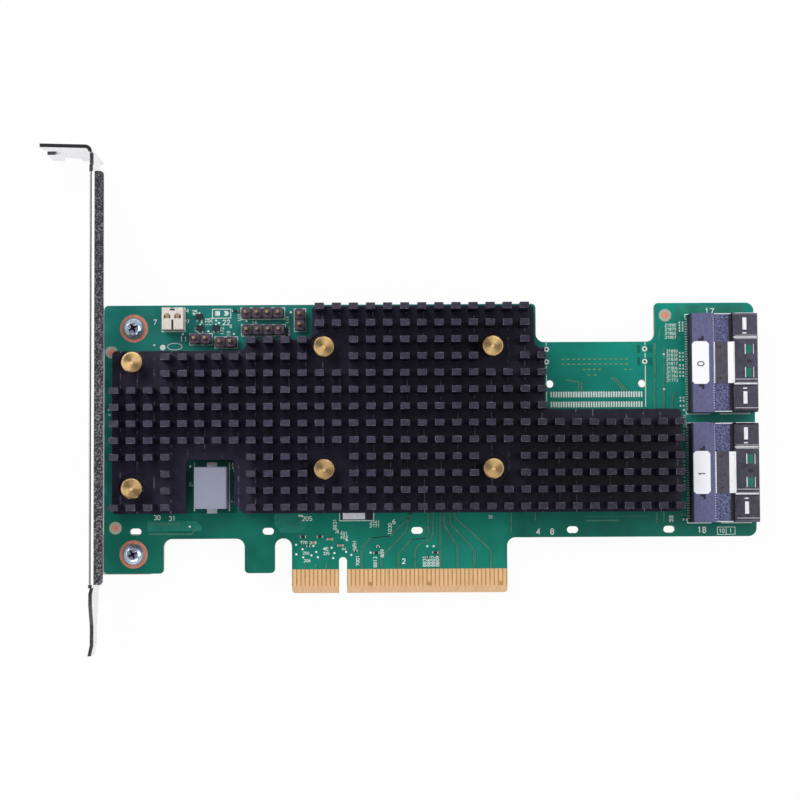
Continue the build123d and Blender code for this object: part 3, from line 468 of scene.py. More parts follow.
# Pin tops: milled grain with a painted highlight from the light above
top_milled_sheen = BLACK.blend(BLACK.ramp(mill, 0.3, 0.75), (46, 43, 60), (70, 66, 84))
tone = BLACK.blend(tops, floor_tone, top_milled_sheen)
tone = BLACK.blend(BLACK.along("X", -10, 50, 0.0, 0.5), tone, (14, 12, 22))
tone = BLACK.blend(line, tone, (150, 144, 160))
BLACK.paint(BLACK.blend(BLACK.times(speck, 0.55), tone, (134, 130, 142)))
BLACK.wear(BLACK.noise(0.8, 3), 0.34, 0.5)
BLACK.bump(BLACK.math("ADD", mill, BLACK.noise(0.3)), 0.012, 0.6)

# Light outlines on the pin edges: a painted highlight, partly wear
EDGE_SHEEN_AND_WEAR = Finish("anodised_edge", (104, 100, 116), 0.4, 0.2)
EDGE_SHEEN_AND_WEAR.paint(EDGE_SHEEN_AND_WEAR.blend(EDGE_SHEEN_AND_WEAR.patches(1.1, 4, rough=0.7, edges=(0.46, 0.68)), (46, 43, 58), (128, 124, 138)))
EDGE_SHEEN_AND_WEAR.wear(EDGE_SHEEN_AND_WEAR.noise(0.5), 0.3, 0.5).bump(EDGE_SHEEN_AND_WEAR.noise(0.2), 0.006, 0.5)

# Turned brass: its highlights follow the lathe's rings, so each head needs its origin on its own axis
BRASS = Finish("turned_brass", (240, 200, 142), 0.32, 1.0, Anisotropic=0.8)
BRASS.set("Tangent", BRASS.node("ShaderNodeTangent", direction_type="RADIAL", axis="Z").outputs[0])
BRASS.vary(BRASS.patches(2.5, 2), 0.97, 1.03).wear(BRASS.noise(2.5), 0.27, 0.33)

WIRE = plain("spring_wire", (170, 168, 166), 0.3, 1.0, (0.4,), (0.85, 1.1), (0.1,), (0.004, 0.4))
NUT = plain("plated_nut", (176, 176, 180), 0.33, 1.0, (0.6,), (0.88, 1.06), (0.15,), (0.006, 0.5))
SCREW = plain("screw_plate", (206, 218, 240), 0.2, 0.85, (0.5, 3), (0.86, 1.06), (0.25,), (0.012, 0.5))
SCREW.wear(SCREW.noise(0.3), 0.14, 0.3)
# The screw recesses are painted dark as shade
RECESS_SHADE = plain("recess_painted_shade", (18, 24, 58), 0.35, 0.0, (0.2, 3), (0.8, 1.3), (0.1,), (0.006, 0.5))
FERRITE = Finish("pressed_powder", (146, 150, 170), 0.5, 0.0, **MATT)
FERRITE.vary(FERRITE.patches(0.12, 3, rough=0.7, edges=(0.35, 0.65)), 0.93, 1.05)
FERRITE.bump(FERRITE.math("ADD", FERRITE.noise(0.12), FERRITE.noise(0.5)), 0.012, 0.6)

# Header bodies: dull on top, with painted shade making their sides nearly black
PLASTIC = Finish("moulded_black", (82, 70, 88), 0.5, 0.0, **MATT)
PLASTIC.vary(PLASTIC.patches(0.35, 3), 0.7, 1.25)
# Painted shade: faces turned away from straight up go nearly black
PLASTIC.paint(PLASTIC.blend(PLASTIC.ramp(PLASTIC.facing("Z"), 0.5, 0.9), (20, 16, 28), PLASTIC.colour))
PLASTIC.bump(PLASTIC.noise(0.1, 2), 0.01, 0.5)
BEIGE = plain("moulded_beige", (220, 210, 204), 0.5, 0.0, (0.8,), (0.94, 1.04), (0.12, 2), (0.01, 0.5))
WHITE = plain("moulded_white", (236, 236, 246), 0.5, 0.0, (0.8,), (0.95, 1.03), (0.12, 2), (0.01, 0.5))

# Moulded housings: even towards the tails, darker and mottled towards the shell with painted glints, and
# painted shade in a band against the shell and on faces turned towards -X
LILAC = Finish("glass_filled_lilac", (100, 98, 138), 0.5, 0.0, **MATT)
swirl = LILAC.noise(0.5, 4, (1, 2.4, 1), 0.75)
rear = LILAC.blend(LILAC.ramp(swirl, 0.3, 0.7), (78, 79, 116), (104, 104, 142))
mottle = LILAC.patches(0.34, 4, (1, 1.3, 1), 0.75, (0.4, 0.62))
front = LILAC.blend(mottle, (34, 36, 66), (112, 116, 158))
tone = LILAC.blend(LILAC.along("X", 88.12, 88.22), rear, front)
# Painted shade in a dark band against the shell
tone = LILAC.blend(LILAC.along("X", 91.4, 91.9), tone, (24, 22, 34))
# Painted shade on faces turned towards -X
tone = LILAC.blend(LILAC.ramp(LILAC.facing("X"), -0.5, -0.8), tone, (16, 16, 24))
glints = LILAC.patches(0.2, 3, rough=0.8, edges=(0.62, 0.75))
LILAC.paint(LILAC.blend(glints, tone, (142, 140, 178)))
LILAC.wear(LILAC.noise(0.7), 0.42, 0.6).bump(LILAC.math("ADD", LILAC.noise(0.12), swirl), 0.015, 0.5)

SHELL = plain("rolled_shell", (100, 99, 114), 0.2, 1.0, (2.5, 2), (0.92, 1.05), (0.5, 2), (0.002, 0.4))
SHELL.wear(SHELL.noise(0.8, 2), 0.16, 0.24)
PLATE = plain("plate_dark", (76, 73, 84), 0.32, 0.3, (1.0, 3), (0.88, 1.1), (0.2,), (0.003, 0.4))
PLATE.paint(PLATE.blend(PLATE.along("X", 91.4, 91.5), PLATE.colour, (244, 244, 248)))
PLATE.wear(PLATE.noise(0.5), 0.26, 0.4)
HIGHLIGHT_AND_TIN = plain("sheet_highlight_and_tin", (240, 240, 244), 0.35, 0.2, (0.6, 3, ALONG_Y), (0.9, 1.03), (0.3,),
               (0.004, 0.4))
PAPER = plain("paper_label", (240, 241, 246), 0.7, 0.0, (0.3, 3), (0.98, 1.02), (0.08,), (0.006, 0.5))
PRINT = plain("print_black", (34, 34, 40), 0.6, 0.0, (0.15,), (0.8, 1.4), (0.08,), (0.004, 0.4), **MATT)
CHIP = plain("chip_black", (40, 40, 52), 0.4, 0.0, (0.25,), (0.75, 1.3), (0.06,), (0.006, 0.5), **MATT)
CERAMIC = plain("ceramic_tan", (158, 132, 104), 0.5, 0.0, (0.25,), (0.88, 1.1), (0.06,), (0.006, 0.5))
OLIVE = plain("resin_olive", (112, 140, 84), 0.5, 0.0, (0.25,), (0.84, 1.12), (0.1,), (0.006, 0.5))
RESIN = plain("package_resin", (30, 78, 60), 0.45, 0.0, (1.2,), (0.9, 1.1), (0.2,), (0.008, 0.4))
LID = plain("nickel_lid", (158, 160, 164), 0.4, 0.9, (0.8,), (0.92, 1.05), (0.15,), (0.006, 0.5))
PAD = plain("gap_filler", (140, 146, 158), 0.85, 0.0, (0.5,), (0.92, 1.06), (0.25,), (0.03, 0.6))

CAD_FINISHES = {
    "circuit_board": MASK,
    "edge_contacts_front": FINGERS,
    "edge_contacts_back": FINGERS,
    "bracket": SHEET,
    "heat_sink": BLACK,
    "heat_sink_nuts": NUT,
    "inductor_body": FERRITE,
    "inductor_terminals": TIN,
    "controller_substrate": RESIN,
    "controller_lid": LID,
    "thermal_pad": PAD,
    "latch_connector_pins": TIN,
    "chip_resistors": CHIP,
    "ceramic_capacitors": CERAMIC,
    "small_transistors": CHIP,
    "indicator_block": WHITE,
    "latch_connector_body": BEIGE,
}
for name, finish in CAD_FINISHES.items():
    assign(name, finish)

# Pin headers: the first pin's place, the number of pins and whether they stand in a row along X
HEADER_PITCH = 2.54
HEADER_TOP = 2.54
HEADERS = {
    "four_upper": (-22.82, 66.85, 4, True),
    "four_lower": (-22.65, 62.83, 4, True),
    "two_left": (-35.10, 60.74, 2, True),
    "two_middle": (-29.03, 59.92, 2, True),
    "two_side": (-10.07, 63.94, 2, False),
}
HEADER_PINS = []
for x, y, ways, in_row in HEADERS.values():
    step_x, step_y = (HEADER_PITCH, 0) if in_row else (0, HEADER_PITCH)
    HEADER_PINS.append([(x + i * step_x, y + i * step_y) for i in range(ways)])
for name in HEADERS:
    assign(f"header_{name}_body", PLASTIC)
    assign(f"header_{name}_pins", GOLD)
SOCKET_FINISHES = {"housing": LILAC, "shell": SHELL, "latch_plate": PLATE, "label": PAPER, "contacts": TIN}
for name in ("upper", "lower"):
    for piece, finish in SOCKET_FINISHES.items():
        assign(f"cable_socket_{name}_{piece}", finish)

# Places that more than one piece goes by
BRACKET_SCREWS = [(-49.88, 9.4), (-49.88, 63.4)]
SPRING_SCREWS = [(-49.08, 25.0), (-49.08, 54.6), (-4.03, 29.3), (-4.03, 58.05)]
SPRING_SCREWS += [(35.65, 29.3), (35.65, 58.05)]
SOCKET_YS = (54.15, 28.15)
FOOT_XS = (48.95, 72.45)
FOOT_YS = (57.9, 54.87)

# Thin layers on the board's two faces, each from its lower to its upper height
CLEAR = 0.001
BACK = -1.57
INK = (0.002, 0.03)
RUN = (CLEAR, 0.02)
GROOVE = (CLEAR, 0.012)
TINNED = (CLEAR, 0.035)
BACK_INK = (BACK - 0.03, BACK - 0.002)
BACK_RUN = (BACK - 0.02, BACK - CLEAR)
BACK_TINNED = (BACK - 0.03, BACK - CLEAR)
SIDES = (-1, 1)

# Rings of bare copper under the bracket screws and optical marks
pads = Build()
for x, y in BRACKET_SCREWS:
    pads.ring(x, y, 2.0, 3.35, CLEAR, 0.03, 56)
pads.done("screw_rings", COPPER, "contact_gold")
marks, dots = Build(), Build()
for x, y in ((-54.21, 15.68), (-55.21, 57.69), (77.44, 65.95)):
    marks.ring(x, y, 0.76, 1.5, *RUN, 40)
    dots.disc(x, y, 0.75, CLEAR, 0.03, 28)
marks.done("optical_mark_rings", PALE, "board_green")
dots.done("optical_mark_dots", PINK, "contact_gold")

# Screen print: frames round the connectors, ticks, dots and small plain numbers
silk = Build()
LINE = 0.17
THIN_LINE = 0.13


def number(text, x, y, height, turned=0):
    """A plain number centred on a place."""
    half_long = ((len(text) - 1) * DIGIT_STEP + DIGIT_WIDTH) * height / 2
    half_high = height / 2
    cos, sin = QUARTER_TURNS[turned]
    x0 = x - half_long * cos + half_high * sin
    y0 = y - half_long * sin - half_high * cos
    numeral(silk, text, x0, y0, height, height * STROKE_SHARE, *INK, turned=turned)


FRAME_END = 1.45
FRAME_SIDE = 1.37
for (x0, y0), *others in HEADER_PINS:
    x1, y1 = others[-1]
    dx, dy = (FRAME_END, FRAME_SIDE) if y0 == y1 else (FRAME_SIDE, FRAME_END)
    silk.frame(x0 - dx, x1 + dx, y0 - dy, y1 + dy, LINE, *INK)
silk.frame(-43.14, -37.61, 62.58, 68.22, LINE, *INK)
silk.frame(-31.06, -26.67, 65.79, 67.94, LINE, *INK)
for x in (-35.38, -27.02):
    silk.path([(x, 19.6), (x, 31.2)], LINE, *INK)
silk.frame(-0.73, 7.37, 17.15, 19.49, LINE, *INK)
OVAL_SIDES = 28
turns = [math.tau * i / OVAL_SIDES for i in range(OVAL_SIDES)]
oval = [(-40.1 + 1.75 * math.cos(turn), 59.0 + 0.8 * math.sin(turn)) for turn in turns]
silk.path(oval + oval[:1], 0.14, *INK)
DOTS = ((-35.37, 66.75), (-33.62, 64.77), (-29.5, 64.63), (-30.17, 65.24), (-32.06, 62.65), (-25.9, 61.97),
        (-38.17, 61.98), (-22.91, 65.13), (-12.28, 67.12), (-44.99, 59.38), (-36.48, 15.95), (-36.4, 30.3),
        (81.71, 43.2), (-11.15, 11.49), (-9.62, 10.43), (-11.09, 9.24), (-9.45, 8.5), (-7.51, 8.97),
        (-5.98, 8.52), (-4.41, 10.51), (-2.66, 10.76), (-2.04, 9.48), (-2.3, 8.32), (-9.87, 12.22),
        (-7.03, 11.22), (-6.34, 9.76), (0.96, 12.56), (2.52, 11.28), (0.77, 9.76), (2.01, 9.03),
        (8.29, 11.14), (6.6, 9.55), (20.11, 11.0), (21.64, 11.0), (-10.3, 18.4), (-9.79, 18.4),
        (-55.9, 43.9), (-55.7, 42.7))
for x, y in DOTS:
    silk.disc(x, y, 0.26, *INK, 14)
silk.disc(-42.97, 58.79, 0.68, *INK, 24)

# Plain numbers: the text, its middle, its height and whether it is turned
NUMBERS = (
    ("24", -37.36, 67.56, .8, 0), ("25", -35.25, 67.31, .8, 0), ("27", -37.29, 65.03, .8, 0),
    ("132", -32.42, 64.89, .72, 1), ("130", -31.46, 64.88, .72, 1), ("41", -35.01, 63.14, .72, 1),
    ("172", -28.73, 62.7, .72, 1), ("119", -27.17, 61.73, .72, 1), ("107", -24.54, 65.88, .72, 1),
    ("114", -13.08, 65.27, .72, 1), ("22", -27.75, 64.75, 1.1, 0), ("8", -26.67, 63.82, .7, 0),
    ("16", -20.99, 64.59, .9, 0), ("11", -38.0, 60.75, 1.1, 0), ("7", -44.85, 64.85, 1.2, 0),
    ("30", -44.3, 18.12, 1.0, 0), ("31", -40.69, 17.91, 1.0, 0),
    ("401", 0.27, 14.13, .7, 0), ("402", 0.27, 13.22, .7, 0), ("2741", 7.6, 16.78, .7, 0),
    ("2771", 7.6, 15.91, .7, 0), ("1030", 11.23, 15.16, .8, 1), ("8891", 2.82, 11.28, .72, 1),
    ("8813", 7.69, 7.3, .74, 1), ("809", 9.37, 9.35, .74, 1), ("8831", 19.46, 7.4, .74, 1),
    ("8861", 20.45, 7.4, .74, 1), ("8807", 21.47, 7.4, .74, 1), ("8809", 22.49, 7.4, .74, 1),
    ("7001", 3.53, 7.6, .74, 1), ("8831", -1.9, 16.3, .74, 1),
    ("205", -8.5, 17.7, .95, 0), ("170", -9.33, 11.99, .66, 0), ("243", -7.14, 11.98, .66, 0),
    ("200", -8.79, 9.52, .6, 0), ("206", -8.5, 7.7, .6, 0), ("325", -3.97, 9.38, .6, 0),
    ("44", 0.26, 10.45, .6, 0), ("2", 14.47, 7.47, 1.1, 0), ("36", -1.37, 14.57, .62, 1),
    ("29", -3.86, 10.4, .62, 1), ("6", 12.22, 16.87, 1.0, 0), ("4", 46.6, 14.33, 1.25, 0),
    ("8", 49.9, 14.33, 1.25, 0), ("18", 85.6, 14.55, 1.3, 0), ("17", 88.08, 66.81, 1.35, 0),
    ("88", 78.32, 17.66, .62, 0), ("89", 78.31, 16.82, .62, 0), ("1151", -31.3, 30.95, .62, 0),
    ("90", -25.6, 29.4, .6, 0), ("27", -36.2, 26.0, .6, 1), ("35", 35.2, 17.9, .62, 0),
    ("31", 81.82, 39.4, .6, 1), ("31", 81.82, 40.5, .6, 1), ("31", 81.82, 41.6, .6, 1),
)
for text, x, y, height, turned in NUMBERS:
    number(text, x, y, height, turned)

# Bare footprint of a third socket, beside the cut-out
for x in (48.88, 72.55):
    for low, high in ((44.0, 53.9), (55.8, 56.9), (58.8, 59.5)):
        silk.path([(x, low), (x, high)], LINE, *INK)
tin, hole_shades = Build(), Build()
for x in FOOT_XS:
    for y in FOOT_YS:
        tin.ring(x, y, 0.28, 0.62, *TINNED, 24)
        # A dark disc in each plated hole is painted shade
        hole_shades.disc(x, y, 0.3, *RUN, 16)
TAILS = 37
TAIL_PITCH = 0.6
for i in range(TAILS):
    x = 49.99 + i * TAIL_PITCH
    tin.box(x - 0.18, x + 0.18, 46.35, 47.7, *TINNED, 0.01)
    tin.box(x - 0.18, x + 0.18, 43.95, 45.3, *TINNED, 0.01)
dashes = Build()
DASH_STARTS = [52.88 + 1.267 * i for i in range(13)]
DASH_ROWS = ((55.5, DASH_STARTS), (54.3, DASH_STARTS), (53.0, (57.86, 59.11, 60.35, 61.6, 67.82, 69.14)),
             (51.67, (59.07, 60.5)))
for y, xs in DASH_ROWS:
    for x in xs:
        dashes.slab(x, y, 0.3, 0.15, *RUN)
keep_out = Build()
for y in FOOT_YS:
    for x0, x1 in ((70.6, 71.4), (73.1, 74.3)):
        keep_out.prism([(x0, y - 1.0), (x1, y - 1.0), (x1, y + 1.0), (x0, y + 1.0)], CLEAR, 0.008)


# Columns of small numbers and pairs of capacitor pads beside the sockets
def pad_pair(x, y):
    """Two bare pads, one at each side of a place."""
    for side in SIDES:
        tin.slab(x + side * 0.38, y, 0.17, 0.23, CLEAR, 0.05, 0.01)


for k, y in enumerate((63.57, 62.6, 61.62, 60.64)):
    number(f"2{1890 - 11 * k}", 78.7, y, 0.62)
for k, y in enumerate((57.32, 56.35, 55.37, 54.3, 53.26, 52.28, 51.31, 50.33)):
    number(f"2{1850 - 11 * k}", 79.0, y, 0.62)
for shift in (0.0, SOCKET_YS[1] - SOCKET_YS[0]):
    for y in (64.17, 63.5, 62.85, 62.22, 56.85, 56.0, 55.19, 53.9, 53.08, 52.2, 51.35, 46.13, 45.4, 44.18):
        if not 18.6 < y + shift < 20.0:
            pad_pair(81.25, y + shift)
pad_pair(81.27, 18.14)
pad_pair(81.6, 17.04)

# Outlines of the sockets on the board, and a boxed pair of numbers along the lower edge
for y in SOCKET_YS:
    for side in SIDES:
        silk.path([(82.2, y + side * 11.1), (82.2, y + side * 11.95), (87.9, y + side * 11.95)], 0.2, *INK)
        silk.path([(90.2, y + side * 11.95), (97.6, y + side * 11.95)], 0.2, *INK)
silk.frame(89.3, 93.5, 13.45, 15.2, THIN_LINE, *INK)
silk.path([(91.4, 13.45), (91.4, 15.2)], THIN_LINE, *INK)
number("10", 90.35, 14.32, 0.85)
number("1", 92.45, 14.32, 0.85)
silk.done("screen_print", SILK, "label_white")
tin.box(-30.41, -29.26, 66.37, 67.52, CLEAR, 0.04, 0.02)
arrow = [(-28.35, 66.37), (-27.5, 66.37), (-27.08, 66.94), (-27.5, 67.52), (-28.35, 67.52), (-28.0, 66.94)]
tin.prism(arrow, CLEAR, 0.04)
tin.done("bare_pads", PADS, "tin")
hole_shades.done("pad_hole_shades", PRINT, "chip_black")
dashes.done("resin_dashes", OLIVE, "contact_gold")
keep_out.done("mask_patches", PATCH, "board_green")

# Traces: pairs that fan from the contacts up under the heat sink, and long runs near the sockets
traces, gaps, pours = Build(), Build(), Build()
GAP_WIDTH = 0.12
FAN = (
    ((4.41, 5.9), (4.43, 10.65), (6.59, 13.02), (11.36, 13.47), (15.19, 17.26), (16.16, 18.9)),
    ((9.18, 5.88), (9.19, 8.49), (14.94, 14.4), (16.15, 18.9)),
    ((13.23, 5.86), (13.24, 9.18), (16.12, 12.5), (19.94, 12.95), (20.42, 14.38), (20.21, 18.9)),
    ((17.18, 5.84), (17.2, 10.11), (18.02, 11.3), (20.89, 12.47), (21.52, 13.89), (21.4, 18.9)),
    ((23.23, 5.81), (23.31, 18.9)),
    ((27.28, 5.78), (27.31, 11.01), (24.25, 15.78), (24.03, 18.9)),
    ((31.33, 5.76), (31.36, 10.04), (25.68, 16.25), (25.46, 18.9)),
    ((35.28, 5.74), (35.31, 10.02), (26.9, 17.68), (26.7, 18.9)),
)
for points in FAN:
    for side in (-0.2, 0.2):
        traces.path([(x + side, y) for x, y in points], 0.2, *RUN)
    for side in (0.36, -0.36):
        gaps.path([(x + side, y) for x, y in points], GAP_WIDTH, *GROOVE)
RUNS = (
    ((74.94, 59.32), (74.75, 43.5)), ((77.13, 58.5), (76.95, 43.5)),
    ((76.61, 63.06), (76.18, 62.41), (76.02, 60.45)), ((79.72, 47.53), (79.06, 46.46), (78.9, 43.5)),
    ((74.9, 18.9), (74.9, 16.2)), ((76.6, 18.9), (76.6, 16.6)), ((57.3, 47.75), (57.3, 49.9)),
    ((56.6, 47.75), (56.6, 50.0), (53.6, 50.5)), ((67.5, 47.75), (64.9, 50.8), (64.2, 50.8)),
    ((68.3, 47.75), (65.4, 51.0)), ((-46.27, 14.2), (-36.09, 14.14), (-34.45, 15.84)),
    ((-46.3, 16.6), (-38.6, 16.6)), ((-8.9, 5.9), (-8.9, 6.9)), ((-3.9, 5.9), (-3.9, 7.3)),
    ((-6.4, 5.9), (-6.4, 6.8)), ((40.2, 14.0), (40.2, 18.9)), ((58.0, 16.9), (66.0, 16.9)),
    ((45.9, 17.0), (45.9, 18.9)),
)
for points in RUNS:
    traces.path(points, 0.34, *RUN)
    gaps.path([(x + 0.26, y) for x, y in points], GAP_WIDTH, *GROOVE)
traces.path([(57.6, 17.9), (73.2, 17.9)], 0.12, *RUN)
for x, y in ((77.05, 56.6), (77.0, 48.2)):
    tin_dot = Build()
    tin_dot.disc(x, y, 0.28, 0.02, 0.035, 14)
    tin_dot.done(f"via_dot_{round(y)}", TIN, "tin")
POURS = (
    ((-46.6, 14.9), (-46.6, 17.3), (-35.0, 17.3), (-33.6, 15.9), (-33.6, 14.9)),
    ((-16.3, 18.9), (-16.3, 16.2), (-14.8, 14.4), (-10.0, 14.4), (-8.4, 16.2), (-8.4, 18.9)),
    ((79.8, 60.0), (79.8, 68.3), (96.5, 68.3), (96.5, 66.4), (81.5, 66.4), (81.5, 60.0)),
)
for points in POURS:
    pours.prism(points, 0.0005, 0.004)
traces.done("copper_runs", TRACE, "board_green")
gaps.done("copper_gaps", GAP, "board_green")
pours.done("copper_pours", POUR, "board_green")

# Small soldered ends of the chip pieces, and chips too small for the source
ends = Build()
CHIPS = ((-25.58, 67.5), (-13.28, 63.3), (-13.28, 62.55), (-13.28, 61.8), (-5.5, 13.4), (-9.5, 13.4),
         (8.0, 9.5), (22.0, 9.5), (-3.1, 12.8), (-0.6, 11.3))
for x, y in CHIPS:
    for side in SIDES:
        ends.box(x + side * 0.4, x + side * 0.72, y - 0.27, y + 0.27, CLEAR, 0.2, 0.03)
TRANSISTORS = ((-34.18, 66.1), (-33.98, 63.4), (-30.23, 63.4))
for x, y in TRANSISTORS:
    for dx, dy in ((-0.5, -0.85), (0.5, -0.85), (0, 0.85)):
        ends.slab(x + dx, y + dy, 0.2, 0.25, CLEAR, 0.1, 0.02)
tiny = Build()
for x, y in ((-8.24, 11.15), (3.07, 10.0), (8.36, 10.9), (20.39, 8.4), (-0.68, 14.6), (-26.1, 21.9)):
    tiny.slab(x, y, 0.22, 0.2, CLEAR, 0.3, 0.04)
    for side in SIDES:
        ends.box(x + side * 0.23, x + side * 0.42, y - 0.2, y + 0.2, CLEAR, 0.28, 0.03)
tiny.done("tiny_chips", CHIP, "chip_black")
tan_chips = Build()
for x, y, in_row in ((-26.2, 30.4, False), (-6.9, 12.0, True)):
    dx, dy = (0.4, 0.24) if in_row else (0.24, 0.4)
    tan_chips.slab(x, y, dx, dy, CLEAR, 0.4, 0.05)
    for side in SIDES:
        end_x, end_y = (side * 0.5, 0) if in_row else (0, side * 0.5)
        ends.slab(x + end_x, y + end_y, 0.14, 0.2, CLEAR, 0.38, 0.03)
tan_chips.done("tan_chips", CERAMIC, "capacitor_tan")
ends.done("chip_solder", PADS, "tin")

# Painted highlights, partly wear, along the top edges of every heat sink pin
outlines = Build()
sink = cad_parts["heat_sink"]
EDGE_LINE_WIDTH = 0.09
cells = {}
for v in sink.data.vertices:
    x, y, z = (sink.matrix_world @ v.co) / MM
    if abs(z - PIN_TOP) < 0.03:
        cell = (round((x - FIRST_PIN[0]) / PIN_PITCH_X), round((y - FIRST_PIN[1]) / PIN_PITCH_Y))
        cells.setdefault(cell, []).append((x, y))
for cell in sorted(cells):
    xs, ys = zip(*cells[cell])
    x0, x1, y0, y1 = min(xs) + 0.05, max(xs) - 0.05, min(ys) + 0.05, max(ys) - 0.05
    if 0.5 < x1 - x0 < 2.6 and 0.5 < y1 - y0 < 2.6:
        outlines.frame(x0, x1, y0, y1, EDGE_LINE_WIDTH, PIN_TOP, PIN_TOP + 0.006)
outlines.done("pin_edge_sheen_and_wear", EDGE_SHEEN_AND_WEAR, "anodised_black")

# Turned brass heads: shallow steps left by the lathe, a bright rim and a centre point
STEPS = 5
HEAD_TOP = 9.965
STEP_DEPTH = 0.002
shank = [(0, -3.27), (1.05, -3.27), (1.2, -3.12), (1.2, 8.6)]
face = [(2.3, 8.6), (2.5, 8.75), (2.5, 9.7), (2.3, 9.96)]
for i in range(STEPS):
    radius = 2.28 - i * 2.0 / STEPS
    face += [(radius, HEAD_TOP), (radius - 0.3, HEAD_TOP - STEP_DEPTH)]
centre_point = [(0.26, 9.96), (0.2, 9.8), (0, 9.75)]
for k, (x, y) in enumerate(SPRING_SCREWS):
    head = Build()
    head.lathe(x, y, shank + face + centre_point, 72, True)
    head.done(f"spring_screw_{k + 1}", BRASS, "turned_brass", (), (x, y))
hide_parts("heat_sink_screws")

# Springs: six turns of wire, closed at both ends
TURNS = 6.0
STEPS_A_TURN = 20
COIL_RADIUS = 1.85
WIRE_RADIUS = 0.24
COIL_BOTTOM = 3.74
COIL_RISE = 4.6
CLOSED_TURNS = 0.75    # level wire at each end
wires = Build()
for x, y in SPRING_SCREWS:
    coil = []
    for i in range(int(TURNS * STEPS_A_TURN) + 1):
        turn = i / STEPS_A_TURN
        rise = min(1.0, max(0.0, (turn - CLOSED_TURNS) / (TURNS - 2 * CLOSED_TURNS)))
        angle = math.tau * turn
        height = COIL_BOTTOM + rise * COIL_RISE
        coil.append((x + COIL_RADIUS * math.cos(angle), y + COIL_RADIUS * math.sin(angle), height))
    wires.tube(coil, WIRE_RADIUS, 8)
wires.done("coil_springs", WIRE, "spring_steel", ("heat_sink_springs",))

# Bracket screws: domed heads with a cross recess painted dark as shade, and a rolled skirt
DOME = [(0, -4.6), (1.3, -4.6), (1.5, -4.4), (1.5, 0.0), (2.55, 0.0), (2.64, 0.12), (2.6, 0.5), (2.42, 0.98),
        (2.15, 1.35), (1.88, 1.6), (1.6, 1.78), (1.3, 1.9)]
RIM_SIDES = 64
RIM_RADIUS = 1.3
RECESS_TAPER = 0.8
ANGLES = [math.tau * i / RIM_SIDES for i in range(RIM_SIDES)]
CROSS = [0.46 + 0.8 * abs(math.cos(2 * (angle - 0.5))) ** 4 for angle in ANGLES]
screws, recess = Build(), Build()
for x, y in BRACKET_SCREWS:
    screws.lathe(x, y, DOME, RIM_SIDES, True)
    rim = [(x + RIM_RADIUS * math.cos(a), y + RIM_RADIUS * math.sin(a), 1.9) for a in ANGLES]
    lip = [(x + r * math.cos(a), y + r * math.sin(a), 1.93) for r, a in zip(CROSS, ANGLES)]
    tapered = [r * RECESS_TAPER for r in CROSS]
    low = [(x + r * math.cos(a), y + r * math.sin(a), 1.15) for r, a in zip(tapered, ANGLES)]
    n = RIM_SIDES
    screws.add(rim + lip, [(i, (i + 1) % n, n + (i + 1) % n, n + i) for i in range(n)], False)
    faces = []
    for i in range(n):
        j = (i + 1) % n
        faces += [(i, j, n + j, n + i), (n + i, n + j, 2 * n)]
    recess.add(lip + low + [(x, y, 0.8)], faces, False)
screws.done("cross_screws", SCREW, "screw_steel", ("bracket_screws",))
recess.done("screw_recesses", RECESS_SHADE, "chip_black")

# Pin headers: painted shade in each groove between the cells and round each pin, and a painted highlight at
# the end of each groove
groove_shades, groove_highlights = Build(), Build()
GROOVE_TOP = HEADER_TOP + 0.012
GROOVE_HIGHLIGHT_TOP = HEADER_TOP + 0.03
for pins in HEADER_PINS:
    in_row = pins[0][1] == pins[1][1]
    for x, y in pins:
        # Painted shade round each pin and in each groove between the cells
        groove_shades.ring(x, y, 0.36, 0.62, HEADER_TOP, GROOVE_TOP, 4)
        if (x, y) == pins[-1]:
            break
        if in_row:
            x += HEADER_PITCH / 2
            groove_shades.slab(x, y, 0.17, 1.16, HEADER_TOP, GROOVE_TOP)
            # Painted highlight at the end of each groove
            groove_highlights.box(x - 0.12, x + 0.12, y + 1.0, y + 1.17, GROOVE_TOP, GROOVE_HIGHLIGHT_TOP, 0.005)
        else:
            groove_shades.slab(x, y + HEADER_PITCH / 2, 1.16, 0.17, HEADER_TOP, GROOVE_TOP)
groove_shades.done("header_groove_shades", PRINT, "connector_black")
groove_highlights.done("header_groove_highlights", TIN, "label_white")

# Indicator block: a dark bed with fine ridges and a row of pale teeth
bed, teeth = Build(), Build()
bed.box(-0.5, 7.1, 17.4, 19.2, 0.031, 0.25, 0.05)
for i in range(7):
    bed.box(0.35 + i * 0.75, 0.6 + i * 0.75, 17.3, 17.5, 0.25, 0.32, 0.02)
for i in range(6):
    teeth.box(0.3 + i * 0.85, 0.75 + i * 0.85, 18.98, 19.3, 0.1, 0.6, 0.05)
bed.done("indicator_bed", CHIP, "chip_black")
teeth.done("indicator_teeth", WHITE, "connector_beige")

# Latch connector: brown mouths over the contacts and two slits drawn as painted shade
LATCH_X = -40.08
ON_LATCH = (5.4, 5.412)
mouths, slit_shade = Build(), Build()
for side in SIDES:
    mouths.slab(LATCH_X + side * 1.2, 65.9, 0.45, 0.6, *ON_LATCH)
# Painted shade for two slits in the body
slit_shade.box(-40.2, -39.96, 63.4, 64.9, *ON_LATCH)
slit_shade.box(-40.7, -39.5, 67.2, 67.6, *ON_LATCH)
mouths.done("latch_mouths", CERAMIC, "connector_beige")
slit_shade.done("latch_slit_shade", PRINT, "connector_black")

